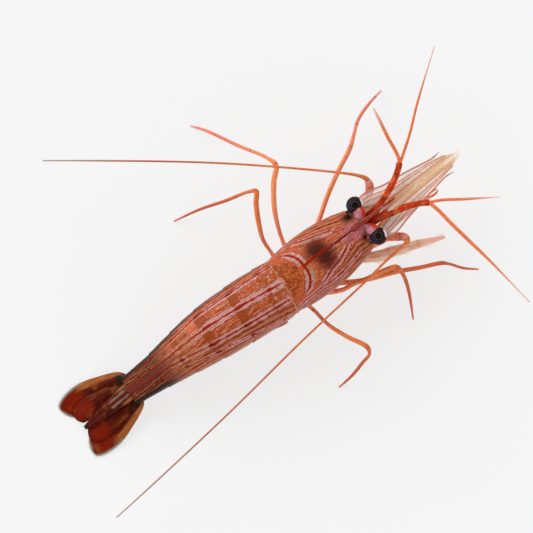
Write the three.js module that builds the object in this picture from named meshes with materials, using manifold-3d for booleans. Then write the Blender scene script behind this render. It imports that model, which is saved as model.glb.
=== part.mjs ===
// A peppermint shrimp at life size, standing still on the floor, in millimetres.
// +X runs towards the head, +Y to the animal's left and +Z up. While the animal is built, x = 0 is the
// rear edge of the carapace and z = 0 the floor; at the end the group is moved so that its origin lies
// under the middle of its bounding box.
import * as THREE from 'three';
import { mergeVertices } from 'three/addons/utils/BufferGeometryUtils.js';
import Module from 'manifold-3d';

const wasm = await Module();
wasm.setup();

// ---- Sizes shared by the whole animal ------------------------------------------------------------

const GAP = 0.3; // clearance between neighbouring nodes
const WELD = 1e-4; // vertices closer than this are one
const COARSE_WELD = 1e-3; // the same, after cuts
const TIDY = 0.01; // slivers thinner than this go after a cut
const FOOT_SINK = 0.12; // how far a tip is sunk before the floor plane trims a flat on it
const LEFT = 1;
const RIGHT = -1;
const SIDE_NAMES = new Map([[LEFT, 'left'], [RIGHT, 'right']]);

const COLOURS = {
  shell: '#b8602f',
  stripe: '#a8200e',
  leg: '#e07a50',
  feeler: '#c86a32',
  peduncle: '#c8401c',
  scale: '#d8b890',
  fan: '#7a2410',
  eye: '#140c10',
  stalk: '#c98fa0',
  belly: '#c98a64',
};

// ---- Closed forms --------------------------------------------------------------------------------

/** A smooth path through rows of [x, y, z, ...sizes]: u = 0 is the first row and u = 1 the last. */
class Route {
  constructor(rows) {
    this.count = rows.length - 1;
    this.path = new THREE.CatmullRomCurve3(rows.map(([x, y, z]) => new THREE.Vector3(x, y, z)), false,
      'centripetal');
    this.sizes = rows.map(([, , , ...sizes]) => sizes);
  }

  point(u) {
    return this.path.getPoint(THREE.MathUtils.clamp(u, 0, 1));
  }

  tangent(u) {
    return this.path.getTangent(THREE.MathUtils.clamp(u, 0, 1));
  }

  /** The sizes at u, eased between the two nearest rows. */
  size(u) {
    const place = THREE.MathUtils.clamp(u, 0, 1) * this.count;
    const row = Math.min(Math.floor(place), this.count - 1);
    const part = place - row;
    return this.sizes[row].map((value, i) => THREE.MathUtils.lerp(value, this.sizes[row + 1][i], part));
  }

  /** The u at which the path passes a given x, for a path that runs steadily along x. */
  uAtX(x) {
    const rising = this.point(1).x > this.point(0).x;
    let low = 0;
    let high = 1;
    for (let i = 0; i < 30; i += 1) {
      const middle = (low + high) / 2;
      if ((this.point(middle).x < x) === rising) low = middle;
      else high = middle;
    }
    return (low + high) / 2;
  }
}

/** Evenly spaced values from first to last. */
function steps(first, last, count) {
  return Array.from({ length: count + 1 }, (_, i) => THREE.MathUtils.lerp(first, last, i / count));
}

/** A point at angle a on a superellipse of half width w, half height h and the given squareness. */
function superellipse(a, w, h, squareness = 2) {
  const bend = (value) => Math.sign(value) * Math.abs(value) ** (2 / squareness);
  return [w * bend(Math.cos(a)), h * bend(Math.sin(a))];
}

/** A closed tube along a route: outline(u, angle) gives [to the side, upwards, ahead] in a cross-section. */
function sweep(route, { us, sides = 8, outline, rolled = false }) {
  const grid = new THREE.CylinderGeometry(1, 1, 1, sides, us.length - 1, false);
  grid.deleteAttribute('normal');
  grid.deleteAttribute('uv');
  const frames = crossFrames(route, us, rolled);
  const position = grid.getAttribute('position');
  for (let i = 0; i < position.count; i += 1) {
    const row = Math.round((position.getY(i) + 0.5) * (us.length - 1));
    const [x, z] = [position.getX(i), position.getZ(i)];
    const frame = frames[row];
    const place = frame.origin.clone();
    if (Math.hypot(x, z) > 0.5) {
      const [side, up, ahead = 0] = outline(us[row], Math.atan2(z, x));
      place.addScaledVector(frame.side, side).addScaledVector(frame.up, up);
      place.addScaledVector(frame.along, ahead);
    } else {
      const [, top] = outline(us[row], Math.PI / 2);
      const [, bottom] = outline(us[row], -Math.PI / 2);
      place.addScaledVector(frame.up, (top + bottom) / 2);
    }
    position.setXYZ(i, place.x, place.y, place.z);
  }
  return mergeVertices(grid, WELD);
}

/** The right-hand side and the upward direction of each cross-section of a route. */
function crossFrames(route, us, rolled) {
  const worldUp = new THREE.Vector3(0, 0, 1);
  let carried = null;
  return us.map((u) => {
    const along = route.tangent(u).normalize();
    let up = rolled && carried ? carried.clone() : worldUp.clone();
    if (Math.abs(up.dot(along)) > 0.97) up = new THREE.Vector3(1, 0, 0);
    const side = along.clone().cross(up).normalize();
    up = side.clone().cross(along).normalize();
    carried = up;
    return { origin: route.point(u), side, up, along };
  });
}

/** A round limb or feeler through rows of [x, y, z, radius], domed at the ends that are named. */
function limb(rows, { sides = 7, spans = 3, domes = [0, 1], grow = 0 } = {}) {
  const route = new Route(rows);
  const us = steps(0, 1, route.count * spans);
  const radius = (u) => {
    const [size] = route.size(u);
    return (domes.includes(Math.round(u)) && (u === 0 || u === 1) ? size * 0.62 : size) + grow;
  };
  const outline = (u, a) => superellipse(a, radius(u), radius(u));
  return solid(sweep(route, { us, sides, rolled: true, outline }));
}

/** A thin blade through rows of [x, y, z, half width, half thickness], with a midrib on its upper face. */
function blade(rows, { sides = 12, spans = 3, rib = 0, grow = 0, squareness = 2.6, rolled = false } = {}) {
  const route = new Route(rows);
  const outline = (u, a) => {
    const [width, thickness] = route.size(u);
    const [side, up] = superellipse(a, width + grow, thickness + grow, squareness);
    const ridge = up > 0 ? rib * Math.exp(-((side / 0.25) ** 2)) : 0;
    return [side, up + ridge];
  };
  return solid(sweep(route, { us: steps(0, 1, route.count * spans), sides, outline, rolled }));
}

/** A manifold solid from a closed three.js geometry. */
function solid(geometry) {
  const bare = geometry.clone();
  bare.deleteAttribute('normal');
  bare.deleteAttribute('uv');
  const merged = mergeVertices(bare, WELD);
  const mesh = new wasm.Mesh({
    numProp: 3,
    vertProperties: new Float32Array(merged.getAttribute('position').array),
    triVerts: new Uint32Array(merged.getIndex().array),
  });
  mesh.merge();
  return new wasm.Manifold(mesh);
}

/** The separate closed surfaces of an indexed geometry, each as a solid. */
function surfacesOf(geometry) {
  const corners = geometry.getIndex().array;
  const root = Array.from({ length: geometry.getAttribute('position').count }, (_, i) => i);
  const find = (i) => {
    while (root[i] !== i) i = root[i] = root[root[i]];
    return i;
  };
  for (let t = 0; t < corners.length; t += 3) {
    root[find(corners[t])] = find(corners[t + 1]);
    root[find(corners[t + 1])] = find(corners[t + 2]);
  }
  const surfaces = new Map();
  for (let t = 0; t < corners.length; t += 3) {
    const key = find(corners[t]);
    if (!surfaces.has(key)) surfaces.set(key, []);
    surfaces.get(key).push(...corners.subarray(t, t + 3));
  }
  return [...surfaces.values()].map((triangles) => {
    const part = geometry.clone();
    part.setIndex(triangles);
    return solid(part);
  });
}

function biggest(pieces) {
  return pieces.reduce((best, other) => (other.volume() > best.volume() ? other : best));
}

/** The largest closed surface of a solid, so that loose scraps and sealed hollows are dropped. */
function largest(piece) {
  const body = biggest(piece.simplify(TIDY).decompose());
  const outer = biggest(surfacesOf(mergeVertices(toGeometry(body), COARSE_WELD)));
  return biggest(outer.simplify(TIDY).decompose());
}

function join(...pieces) {
  return pieces.reduce((whole, piece) => whole.add(piece));
}

function carve(piece, ...cutters) {
  return cutters.reduce((rest, cutter) => rest.subtract(cutter), piece);
}

/** A solid as a three.js geometry. */
function toGeometry(piece) {
  const mesh = piece.getMesh();
  const geometry = new THREE.BufferGeometry();
  geometry.setAttribute('position', new THREE.BufferAttribute(mesh.vertProperties.slice(), 3));
  geometry.setIndex(new THREE.BufferAttribute(mesh.triVerts.slice(), 1));
  return geometry;
}

// ---- The finished nodes --------------------------------------------------------------------------

const shrimp = new THREE.Group();

/** Keeps a node: its largest body, trimmed to the floor, in its own colour. */
function node(name, piece, colour, roughness = 0.35) {
  const body = largest(piece.trimByPlane([0, 0, 1], 0));
  const material = new THREE.MeshStandardMaterial({ color: colour, roughness, metalness: 0 });
  const mesh = new THREE.Mesh(toGeometry(body), material);
  mesh.name = name;
  shrimp.add(mesh);
}

function named(part, side) {
  return `${part}_${SIDE_NAMES.get(side)}`;
}

/** Rows measured on the left, or the same rows mirrored for the right. */
function onSide(rows, side) {
  return rows.map(([x, y, ...rest]) => [x, y * side, ...rest]);
}

// ---- Carapace and rostrum ------------------------------------------------------------------------

const AXIS_HEIGHT = 9.3; // of the middle of the carapace above the floor
const CARAPACE = new Route([ // [x, half width, height above the middle, depth below it]
  [-0.05, 4.45, 4.25, 3.0],
  [1.0, 4.65, 4.4, 3.8],
  [3.0, 4.9, 4.6, 4.25],
  [6.2, 5.0, 4.7, 4.3],
  [9.2, 4.8, 4.45, 4.1],
  [12.2, 4.25, 3.95, 3.45],
  [14.2, 3.65, 3.35, 2.7],
  [14.95, 3.25, 2.95, 2.2],
].map(([x, ...sizes]) => [x, 0, AXIS_HEIGHT, ...sizes]));
const BACK_SQUARENESS = 2.15;
const FLANK_SQUARENESS = 2.5;
const REAR_SWEEP = 0.75; // how far the rear edge runs back at the sides
const REAR_SWEEP_END = 0.3; // the part of the length over which that fades out
const SHELL_THICKNESS = 0.85;
const HOLLOW_TOP = 6.7;
const HOLLOW_BOTTOM = 2.5;
const HOLLOW_XS = [-1.5, 1, 4, 8, 11, 13.4];
const HOLLOW_SQUARENESS = 6;
const EYE_RADIUS = 1.35;
const EYE_CENTRE = new THREE.Vector3(16.1, 2.95, 11.6);
const ORBIT_RADIUS = 1.85;

function carapaceOuter(grow = 0) {
  const outline = (u, a) => {
    const [width, height, depth] = CARAPACE.size(u);
    const [side, up] = a > 0
      ? superellipse(a, width + grow, height + grow, BACK_SQUARENESS)
      : superellipse(a, width + grow, depth + grow, FLANK_SQUARENESS);
    const ahead = -REAR_SWEEP * Math.cos(a) ** 2 * Math.max(0, 1 - u / REAR_SWEEP_END);
    return [side, up, ahead];
  };
  const us = steps(0, 1, CARAPACE.count * 2);
  const ends = new Route([
    [CARAPACE.point(0).x - grow, 0, AXIS_HEIGHT],
    [CARAPACE.point(1).x + grow, 0, AXIS_HEIGHT],
  ]);
  const stretched = {
    point: (u) => (u > 0 && u < 1 ? CARAPACE.point(u) : ends.point(u)),
    tangent: () => new THREE.Vector3(1, 0, 0),
  };
  return solid(sweep(stretched, { us, sides: 28, outline }));
}

/** The open space under the carapace that holds the leg bases; it runs out at the rear. */
function carapaceHollow(grow = 0) {
  const middle = (HOLLOW_TOP + HOLLOW_BOTTOM) / 2;
  const half = (HOLLOW_TOP - HOLLOW_BOTTOM) / 2 - grow;
  const rows = HOLLOW_XS.map((x, i) => {
    const [width] = CARAPACE.size(CARAPACE.uAtX(x));
    return [i === HOLLOW_XS.length - 1 ? x - grow : x, 0, middle, width - SHELL_THICKNESS - grow, half];
  });
  const route = new Route(rows);
  const outline = (u, a) => superellipse(a, ...route.size(u), HOLLOW_SQUARENESS);
  return solid(sweep(route, { us: steps(0, 1, route.count), sides: 20, outline }));
}

function ball(centre, radius, across = 14, down = 10) {
  const sphere = new THREE.SphereGeometry(radius, across, down);
  sphere.rotateX(Math.PI / 2);
  sphere.translate(centre.x, centre.y, centre.z);
  return solid(sphere);
}

function mirrored(point, side) {
  return new THREE.Vector3(point.x, point.y * side, point.z);
}

// The rostral blade: its root lies in the carapace, its free part starts at the orbit, and a thin cut
// parts the two.
const ROSTRUM = { root: 8.0, level: 12, orbit: 14.2, cut: 15.7, tip: 21.8, thickness: 0.56 };
const BLADE_TOP = { crest: 0.35, orbit: 13.35, tip: 13.0 }; // the crest's is a rise above the carapace
const BLADE_BOTTOM = { orbit: 12.35, tip: 12.85 };
const BLADE_ROOT_DEPTH = { rear: 0.9, step: 0.3, front: [14.0, 11.9], middle: [12.0, 12.0] };
const DORSAL_TEETH = [9.4, 12.7, 15.0, 17.0, 18.7, 20.0];
const VENTRAL_TEETH = [17.9, 19.2, 20.3];
const TOOTH = { run: 0.85, rise: 0.4, back: 0.12, ventral: 0.8 };
const KEEL = [ // the low ridge along each side of the blade: [x, y, z, half width, half height]
  [12.5, 0, 12.7, 1.0, 0.3],
  [15.2, 0, 12.75, 0.8, 0.28],
  [18.0, 0, 12.85, 0.5, 0.24],
  [21.5, 0, 12.93, 0.22, 0.16],
];

function rostrumTop(x) {
  const { level, orbit, tip } = ROSTRUM;
  if (x >= orbit) return THREE.MathUtils.mapLinear(x, orbit, tip, BLADE_TOP.orbit, BLADE_TOP.tip);
  const [, height] = CARAPACE.size(CARAPACE.uAtX(x));
  const crest = AXIS_HEIGHT + height + BLADE_TOP.crest;
  return THREE.MathUtils.lerp(crest, BLADE_TOP.orbit, THREE.MathUtils.smoothstep(x, level, orbit));
}

function rostrumBottom(x) {
  const { orbit, tip } = ROSTRUM;
  return THREE.MathUtils.mapLinear(Math.max(x, orbit), orbit, tip, BLADE_BOTTOM.orbit, BLADE_BOTTOM.tip);
}

function rostrum() {
  const profile = new THREE.Shape();
  profile.moveTo(ROSTRUM.root, rostrumTop(ROSTRUM.root) - BLADE_ROOT_DEPTH.rear);
  profile.lineTo(ROSTRUM.root, rostrumTop(ROSTRUM.root) - BLADE_ROOT_DEPTH.step);
  for (const x of DORSAL_TEETH) {
    profile.lineTo(x - TOOTH.run, rostrumTop(x - TOOTH.run));
    profile.lineTo(x, rostrumTop(x) + TOOTH.rise);
    profile.lineTo(x + TOOTH.back, rostrumTop(x + TOOTH.back));
  }
  profile.lineTo(ROSTRUM.tip, rostrumTop(ROSTRUM.tip) - WELD);
  for (const x of [...VENTRAL_TEETH].reverse()) {
    profile.lineTo(x + TOOTH.back, rostrumBottom(x + TOOTH.back));
    profile.lineTo(x, rostrumBottom(x) - TOOTH.rise * TOOTH.ventral);
    profile.lineTo(x - TOOTH.run, rostrumBottom(x - TOOTH.run));
  }
  profile.lineTo(...BLADE_ROOT_DEPTH.front);
  profile.lineTo(...BLADE_ROOT_DEPTH.middle);
  const plate = new THREE.ExtrudeGeometry(profile, { depth: ROSTRUM.thickness, bevelEnabled: false });
  plate.translate(0, 0, -ROSTRUM.thickness / 2);
  plate.rotateX(Math.PI / 2);
  return join(solid(plate), blade(KEEL, { sides: 8, spans: 2, squareness: 2 }));
}

const ANTENNAL_SPINE = { radius: 0.32, length: 1.5, x: 15.1, y: 3.05, z: 10.15 };

/** A spine on the front edge of the carapace beside the antenna. */
function antennalSpine(side) {
  const spine = new THREE.ConeGeometry(ANTENNAL_SPINE.radius, ANTENNAL_SPINE.length, 6);
  spine.rotateZ(-Math.PI / 2);
  spine.translate(ANTENNAL_SPINE.x, side * ANTENNAL_SPINE.y, ANTENNAL_SPINE.z);
  return solid(spine);
}

function buildCarapace() {
  const blades = rostrum();
  const crest = blades.trimByPlane([-1, 0, 0], -(ROSTRUM.cut - GAP / 2));
  const free = blades.trimByPlane([1, 0, 0], ROSTRUM.cut + GAP / 2);
  const orbits = [LEFT, RIGHT].map((side) => ball(mirrored(EYE_CENTRE, side), ORBIT_RADIUS));
  const shell = join(carapaceOuter(), antennalSpine(LEFT), antennalSpine(RIGHT));
  node('carapace', join(carve(shell, carapaceHollow(), ...orbits), crest), COLOURS.shell);
  node('rostrum', free, COLOURS.stripe);
}

/** The carapace with its clearance, to cut its neighbours with. */
function carapaceCutter() {
  return carve(carapaceOuter(GAP), carapaceHollow(GAP));
}

// ---- Thorax and mouthparts -----------------------------------------------------------------------

const THORAX = [ // [x, y, z, half width, half height]
  [0.4, 0, 5.3, 1.6, 0.9],
  [1.2, 0, 5.15, 2.4, 1.2],
  [4.5, 0, 5.1, 2.7, 1.3],
  [8.5, 0, 5.15, 2.4, 1.25],
  [12.0, 0, 5.3, 1.6, 1.1],
];
const MOUTH = [
  [12.3, 0, 5.3, 1.5, 1.15],
  [13.6, 0, 5.6, 1.45, 1.15],
  [15.0, 0, 6.1, 1.0, 0.8],
  [15.9, 0, 6.4, 0.5, 0.4],
];

const BODY_FORM = { sides: 14, spans: 2, squareness: 3 };

function buildThorax() {
  node('thorax', blade(THORAX, BODY_FORM), COLOURS.belly);
  node('mouthparts', carve(blade(MOUTH, BODY_FORM), carapaceCutter()), COLOURS.belly);
}

function thoraxCutter() {
  const rows = THORAX.map(([x, ...rest], i) => [i ? x : x - GAP, ...rest]);
  return blade(rows, { ...BODY_FORM, grow: GAP });
}

// ---- Abdomen -------------------------------------------------------------------------------------

// [x, y, z of the middle, half width, height above it], at each edge between two somites; the first
// somite starts inside the carapace, whose rear edge then cuts it to length
const ABDOMEN = new Route([
  [0.5, 0, 9.55, 4.3, 3.95],
  [-2.7, 0.25, 9.7, 4.5, 4.1],
  [-6.7, 0.6, 9.65, 4.5, 4.15],
  [-12.3, 1.1, 8.9, 4.25, 4.1],
  [-17.2, 1.5, 7.3, 3.65, 3.5],
  [-21.8, 1.9, 5.25, 2.9, 2.7],
  [-28.0, 2.45, 3.0, 2.25, 1.45],
]);
const SOMITES = 6;
const BELLY_DEPTH = 0.72; // of the height above the middle
const RIM_FLARE = 0.17; // how far a somite's rear rim stands out over the next
const RING_SQUARENESS = 2.1;
const BELLY_SQUARENESS = 3.2;
const PLEURA = [ // start and end along the somite, how far down it reaches, its squareness
  { from: 0.4, to: 0.85, drop: 1.0, hook: 2.2 },
  { from: -0.22, to: 1.2, drop: 1.2, hook: 2.8 },
  { from: 0.22, to: 1.14, drop: 1.16, hook: 2.4 },
  { from: 0.22, to: 1.16, drop: 1.14, hook: 2.2 },
  { from: 0.22, to: 1.2, drop: 1.08, hook: 1.7 },
];
const PLEURON = { thickness: 0.56, top: -0.12, inset: 0.06, lean: 0.1, end: 0.2, squareness: 3 };

/** The u on the abdomen of a place v along one somite: 0 at its front edge, 1 at its rear. */
function somiteU(index, v) {
  return (index + v) / SOMITES;
}

function somiteRing(index, grow = 0) {
  const from = ABDOMEN.point(somiteU(index, 0));
  const to = ABDOMEN.point(somiteU(index, 1));
  const margin = (GAP / 2 - grow) / from.distanceTo(to);
  const first = index === 0 ? 0 : margin;
  const us = steps(somiteU(index, first), somiteU(index, 1 - margin), 3);
  const outline = (u, a) => {
    const [width, height] = ABDOMEN.size(u);
    const flare = RIM_FLARE * (2 * THREE.MathUtils.clamp(u * SOMITES - index, 0, 1) - 1) + grow;
    return a > 0
      ? superellipse(a, width + flare, height + flare, RING_SQUARENESS)
      : superellipse(a, width + flare, height * BELLY_DEPTH + flare, BELLY_SQUARENESS);
  };
  return solid(sweep(ABDOMEN, { us, sides: 26, outline }));
}

/** The side plate that hangs from a somite and laps over its neighbour: a lobe in side view. */
function pleuron(index, side, grow = 0) {
  const { from, to, drop, hook } = PLEURA[index];
  const us = steps(somiteU(index, from), somiteU(index, to), 6);
  const outline = (u, a) => {
    const v = THREE.MathUtils.mapLinear(u * SOMITES - index, from, to, -1, 1);
    const [width, height] = ABDOMEN.size(u);
    const roundness = Math.max(PLEURON.end ** 2, 1 - Math.abs(v) ** hook) ** 0.5;
    const middle = (height * (PLEURON.top - drop)) / 2;
    const half = ((height * (PLEURON.top + drop)) / 2) * roundness;
    const [across, up] = superellipse(a, PLEURON.thickness / 2 + grow, half + grow, PLEURON.squareness);
    const lean = width * PLEURON.lean * Math.max(0, -(middle + up) / height) ** 2;
    return [-side * (width - PLEURON.inset - PLEURON.thickness / 2 - lean) + across, middle + up];
  };
  return solid(sweep(ABDOMEN, { us, sides: 8, outline }));
}

function pleuraPair(index, grow) {
  return join(pleuron(index, LEFT, grow), pleuron(index, RIGHT, grow));
}

function buildAbdomen() {
  for (let index = 0; index < SOMITES; index += 1) {
    let somite = somiteRing(index);
    if (index < PLEURA.length) somite = join(somite, pleuraPair(index, 0));
    if (index === 0) somite = carve(somite, pleuraPair(1, GAP), carapaceOuter(GAP));
    if (index >= 2) somite = carve(somite, pleuraPair(index - 1, GAP));
    node(`abdomen_${index + 1}`, somite, COLOURS.shell);
  }
}

// ---- Tail fan ------------------------------------------------------------------------------------

const TELSON = [ // [x, y, z, half width, half thickness]
  [-28.5, 2.5, 3.0, 1.35, 0.85],
  [-31.0, 2.5, 2.35, 1.2, 0.6],
  [-34.5, 2.45, 1.5, 0.8, 0.4],
  [-37.3, 2.4, 0.85, 0.42, 0.27],
];
const TAIL_MIDDLE = 2.45;
const UROPODS = { // offsets from the middle line of the tail, for the left side
  inner: [
    [-27.4, 0.9, 2.3, 0.6, 0.4],
    [-29.2, 1.2, 1.7, 0.8, 0.33],
    [-32.0, 1.6, 1.1, 1.1, 0.3],
    [-34.8, 1.75, 0.55, 1.3, 0.28],
    [-37.0, 1.5, 0.2, 1.0, 0.26],
    [-38.1, 1.3, 0.13, 0.5, 0.22],
  ],
  outer: [
    [-27.4, 1.7, 2.4, 0.6, 0.4],
    [-28.8, 2.6, 1.9, 0.95, 0.33],
    [-31.6, 3.6, 1.2, 1.25, 0.3],
    [-34.4, 4.3, 0.6, 1.35, 0.28],
    [-36.7, 4.4, 0.2, 1.2, 0.26],
    [-37.9, 4.2, 0.13, 0.7, 0.22],
  ],
};
const FAN_RIB = 0.16;
const TELSON_RIB = 0.1;
const FAN_SPREAD = { [LEFT]: 1.12, [RIGHT]: 0.86 }; // the left half is spread wider

function uropod(kind, side, grow = 0) {
  const out = side * FAN_SPREAD[side];
  const rows = UROPODS[kind].map(([x, y, ...rest]) => [x, TAIL_MIDDLE + y * out, ...rest]);
  return blade(rows, { sides: 12, spans: 1, rib: grow ? 0 : FAN_RIB, grow });
}

function buildTailFan() {
  const telson = blade(TELSON, { sides: 12, spans: 2, rib: TELSON_RIB });
  const telsonCutter = blade(TELSON, { sides: 12, spans: 2, grow: GAP });
  const lastSomite = somiteRing(SOMITES - 1, GAP);
  node('telson', carve(telson, lastSomite), COLOURS.fan);
  for (const side of [LEFT, RIGHT]) {
    node(named('uropod_inner', side), carve(uropod('inner', side), lastSomite, telsonCutter), COLOURS.fan);
    node(named('uropod_outer', side),
      carve(uropod('outer', side), lastSomite, telsonCutter, uropod('inner', side, GAP)), COLOURS.fan);
  }
}

// ---- Eyes ----------------------------------------------------------------------------------------

const STALK = [ // [x, y, z, radius]
  [15.1, 0.9, 11.35, 0.55],
  [15.6, 1.3, 11.45, 0.7],
  [16.0, 2.0, 11.55, 0.95],
  [16.1, 2.7, 11.6, 1.1],
];

const KEEL_CLEARANCE = [ // [x, y, z, half width, half height] of the space that the rostrum keeps
  [13.0, 0, 12.75, 1.35, 0.7],
  [18.0, 0, 12.85, 0.85, 0.8],
  [22.0, 0, 12.93, 0.6, 0.6],
];

function buildEyes() {
  for (const side of [LEFT, RIGHT]) {
    const centre = mirrored(EYE_CENTRE, side);
    node(named('eye', side), ball(centre, EYE_RADIUS), COLOURS.eye, 0.1);
    const stalk = limb(onSide(STALK, side), { sides: 12, spans: 2, domes: [] });
    const stalkCuts = [ball(centre, EYE_RADIUS + GAP), carapaceCutter(), rostrumCutter()];
    node(named('eyestalk', side), carve(stalk, ...stalkCuts), COLOURS.stalk);
  }
}

function rostrumCutter() {
  return blade(KEEL_CLEARANCE, { sides: 8, spans: 1, squareness: 3 });
}

// ---- Antennules ----------------------------------------------------------------------------------

const ANTENNULE = {
  [LEFT]: {
    peduncle: [
      [15.3, 0.68, 9.95, 0.4], [17.0, 0.78, 10.25, 0.45], [19.0, 0.95, 10.5, 0.55], [20.4, 1.35, 10.6, 0.52],
      [22.3, 2.1, 10.8, 0.6], [24.0, 3.0, 11.0, 0.52], [25.5, 4.15, 11.2, 0.58],
    ],
    outer: [
      [25.75, 4.75, 11.3, 0.3], [26.3, 8.1, 12.2, 0.3], [27.0, 11.6, 13.2, 0.26], [27.2, 12.9, 13.5, 0.14],
    ],
    inner: [
      [26.45, 4.35, 11.3, 0.26], [29.5, 6.3, 12.3, 0.26], [33.0, 9.2, 13.5, 0.25], [40.2, 14.4, 15.5, 0.13],
    ],
  },
  [RIGHT]: {
    peduncle: [
      [15.3, -0.68, 9.95, 0.4], [17.0, -0.75, 10.25, 0.45], [18.6, -0.95, 10.5, 0.55],
      [20.0, -1.3, 10.6, 0.52], [22.0, -1.8, 10.8, 0.6], [24.2, -2.8, 11.0, 0.52], [25.4, -3.6, 11.2, 0.58],
    ],
    outer: [
      [25.65, -4.25, 11.3, 0.32], [26.2, -8.4, 11.8, 0.32], [26.8, -12.4, 12.2, 0.3],
      [27.4, -16.6, 13.0, 0.26], [28.3, -25.3, 14.0, 0.13],
    ],
    inner: [[26.25, -3.95, 11.3, 0.26], [30.0, -6.7, 12.5, 0.26], [34.2, -9.7, 13.5, 0.13]],
  },
};

function buildAntennules() {
  for (const side of [LEFT, RIGHT]) {
    const { peduncle, outer, inner } = ANTENNULE[side];
    const stalkCutter = limb(onSide(STALK, side), { sides: 12, spans: 2, domes: [], grow: GAP });
    const stem = carve(limb(peduncle, { sides: 8, spans: 2, domes: [1] }), carapaceCutter(), stalkCutter);
    node(named('antennule_peduncle', side), stem, COLOURS.peduncle);
    const stemCutter = limb(peduncle, { sides: 8, spans: 2, domes: [1], grow: GAP });
    const thick = limb(outer, { sides: 6, spans: 4, domes: [] });
    node(named('antennule_outer', side), carve(thick, stemCutter), COLOURS.feeler);
    const thickCutter = limb(outer, { sides: 6, spans: 4, domes: [], grow: GAP });
    node(named('antennule_inner', side),
      carve(limb(inner, { sides: 6, spans: 4, domes: [] }), stemCutter, thickCutter), COLOURS.feeler);
  }
}

// ---- Antennae ------------------------------------------------------------------------------------

const ANTENNA = {
  [LEFT]: {
    peduncle: [
      [15.2, 2.6, 8.2, 0.95], [16.4, 3.0, 8.2, 0.9], [17.8, 3.1, 8.15, 0.62], [18.8, 3.5, 8.2, 0.58],
      [19.8, 4.6, 8.4, 0.55], [19.9, 5.4, 8.9, 0.45],
    ],
    near: [
      [19.75, 5.95, 9.25, 0.28], [17.0, 8.9, 10.0, 0.25], [9.9, 15.3, 11.0, 0.25], [4.2, 20.3, 11.1, 0.25],
    ],
    far: [
      [4.0, 20.5, 11.1, 0.25], [-1.8, 25.3, 11.0, 0.25], [-10.6, 32.4, 10.2, 0.22], [-17.6, 38.0, 9.2, 0.12],
    ],
  },
  [RIGHT]: {
    peduncle: [
      [15.2, -2.6, 8.2, 0.95], [16.2, -2.9, 8.2, 0.9], [17.2, -3.4, 8.15, 0.62], [18.0, -4.0, 8.2, 0.58],
      [19.2, -5.0, 8.4, 0.55], [19.4, -5.7, 8.9, 0.45],
    ],
    near: [
      [18.9, -6.05, 9.25, 0.28], [14.7, -6.45, 9.8, 0.25], [11.0, -7.0, 9.9, 0.25], [1.8, -7.9, 9.5, 0.25],
      [-3.1, -8.4, 9.2, 0.25],
    ],
    far: [
      [-3.4, -8.43, 9.18, 0.25], [-17.9, -10.2, 8.2, 0.25], [-34.3, -11.7, 6.6, 0.2], [-41.4, -12.2, 5.6, 0.12],
    ],
  },
};
const SCALE_BLADE = { // left side: [x, y, z, half width, half thickness]
  [LEFT]: [
    [16.5, 3.0, 9.35, 0.7, 0.27], [18.4, 2.75, 9.3, 1.25, 0.26], [21.5, 2.0, 9.3, 1.25, 0.26],
    [25.5, 1.75, 9.35, 0.98, 0.26], [29.5, 1.4, 9.45, 0.62, 0.25], [31.6, 1.1, 9.5, 0.32, 0.2],
  ],
  [RIGHT]: [
    [16.5, -3.0, 9.35, 0.7, 0.27], [18.4, -2.75, 9.3, 1.2, 0.26], [21.5, -2.05, 9.3, 1.2, 0.26],
    [25.5, -1.55, 9.35, 0.95, 0.26], [29.5, -1.15, 9.45, 0.62, 0.25], [31.7, -0.95, 9.5, 0.32, 0.2],
  ],
};
const SCALE_TOOTH = { [LEFT]: [31.2, 1.95, 9.55], [RIGHT]: [31.2, -1.8, 9.55] };
const SCALE_RIB = { inset: 0.22, lift: 0.05, radius: 0.26, tip: 0.13 };

/** The antennal scale: a thin blade with a stiff outer rib that ends in a tooth. */
function antennalScale(side, grow = 0) {
  const rows = SCALE_BLADE[side];
  const [tipX, tipY, tipZ] = SCALE_TOOTH[side];
  const rib = rows.slice(0, -1).map(([x, y, z, width]) => (
    [x, y + side * (width - SCALE_RIB.inset), z + SCALE_RIB.lift, SCALE_RIB.radius]));
  rib.push([tipX, tipY, tipZ, SCALE_RIB.tip]);
  return join(blade(rows, { sides: 8, spans: 1, grow }), limb(rib, { sides: 6, spans: 1, domes: [], grow }));
}

function buildAntennae() {
  for (const side of [LEFT, RIGHT]) {
    const { peduncle, near, far } = ANTENNA[side];
    const stem = carve(limb(peduncle, { sides: 10, spans: 2 }), carapaceCutter());
    node(named('antenna_peduncle', side), stem, COLOURS.feeler);
    const stemCutter = limb(peduncle, { sides: 10, spans: 2, domes: [], grow: GAP });
    const scale = carve(antennalScale(side), stemCutter, carapaceCutter());
    node(named('antennal_scale', side), scale, COLOURS.scale);
    const lash = { sides: 6, spans: 5, domes: [] };
    node(named('antenna_near', side), carve(limb(near, lash), stemCutter), COLOURS.feeler);
    node(named('antenna_far', side), limb(far, lash), COLOURS.feeler);
  }
}

// ---- Legs ----------------------------------------------------------------------------------------

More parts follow.
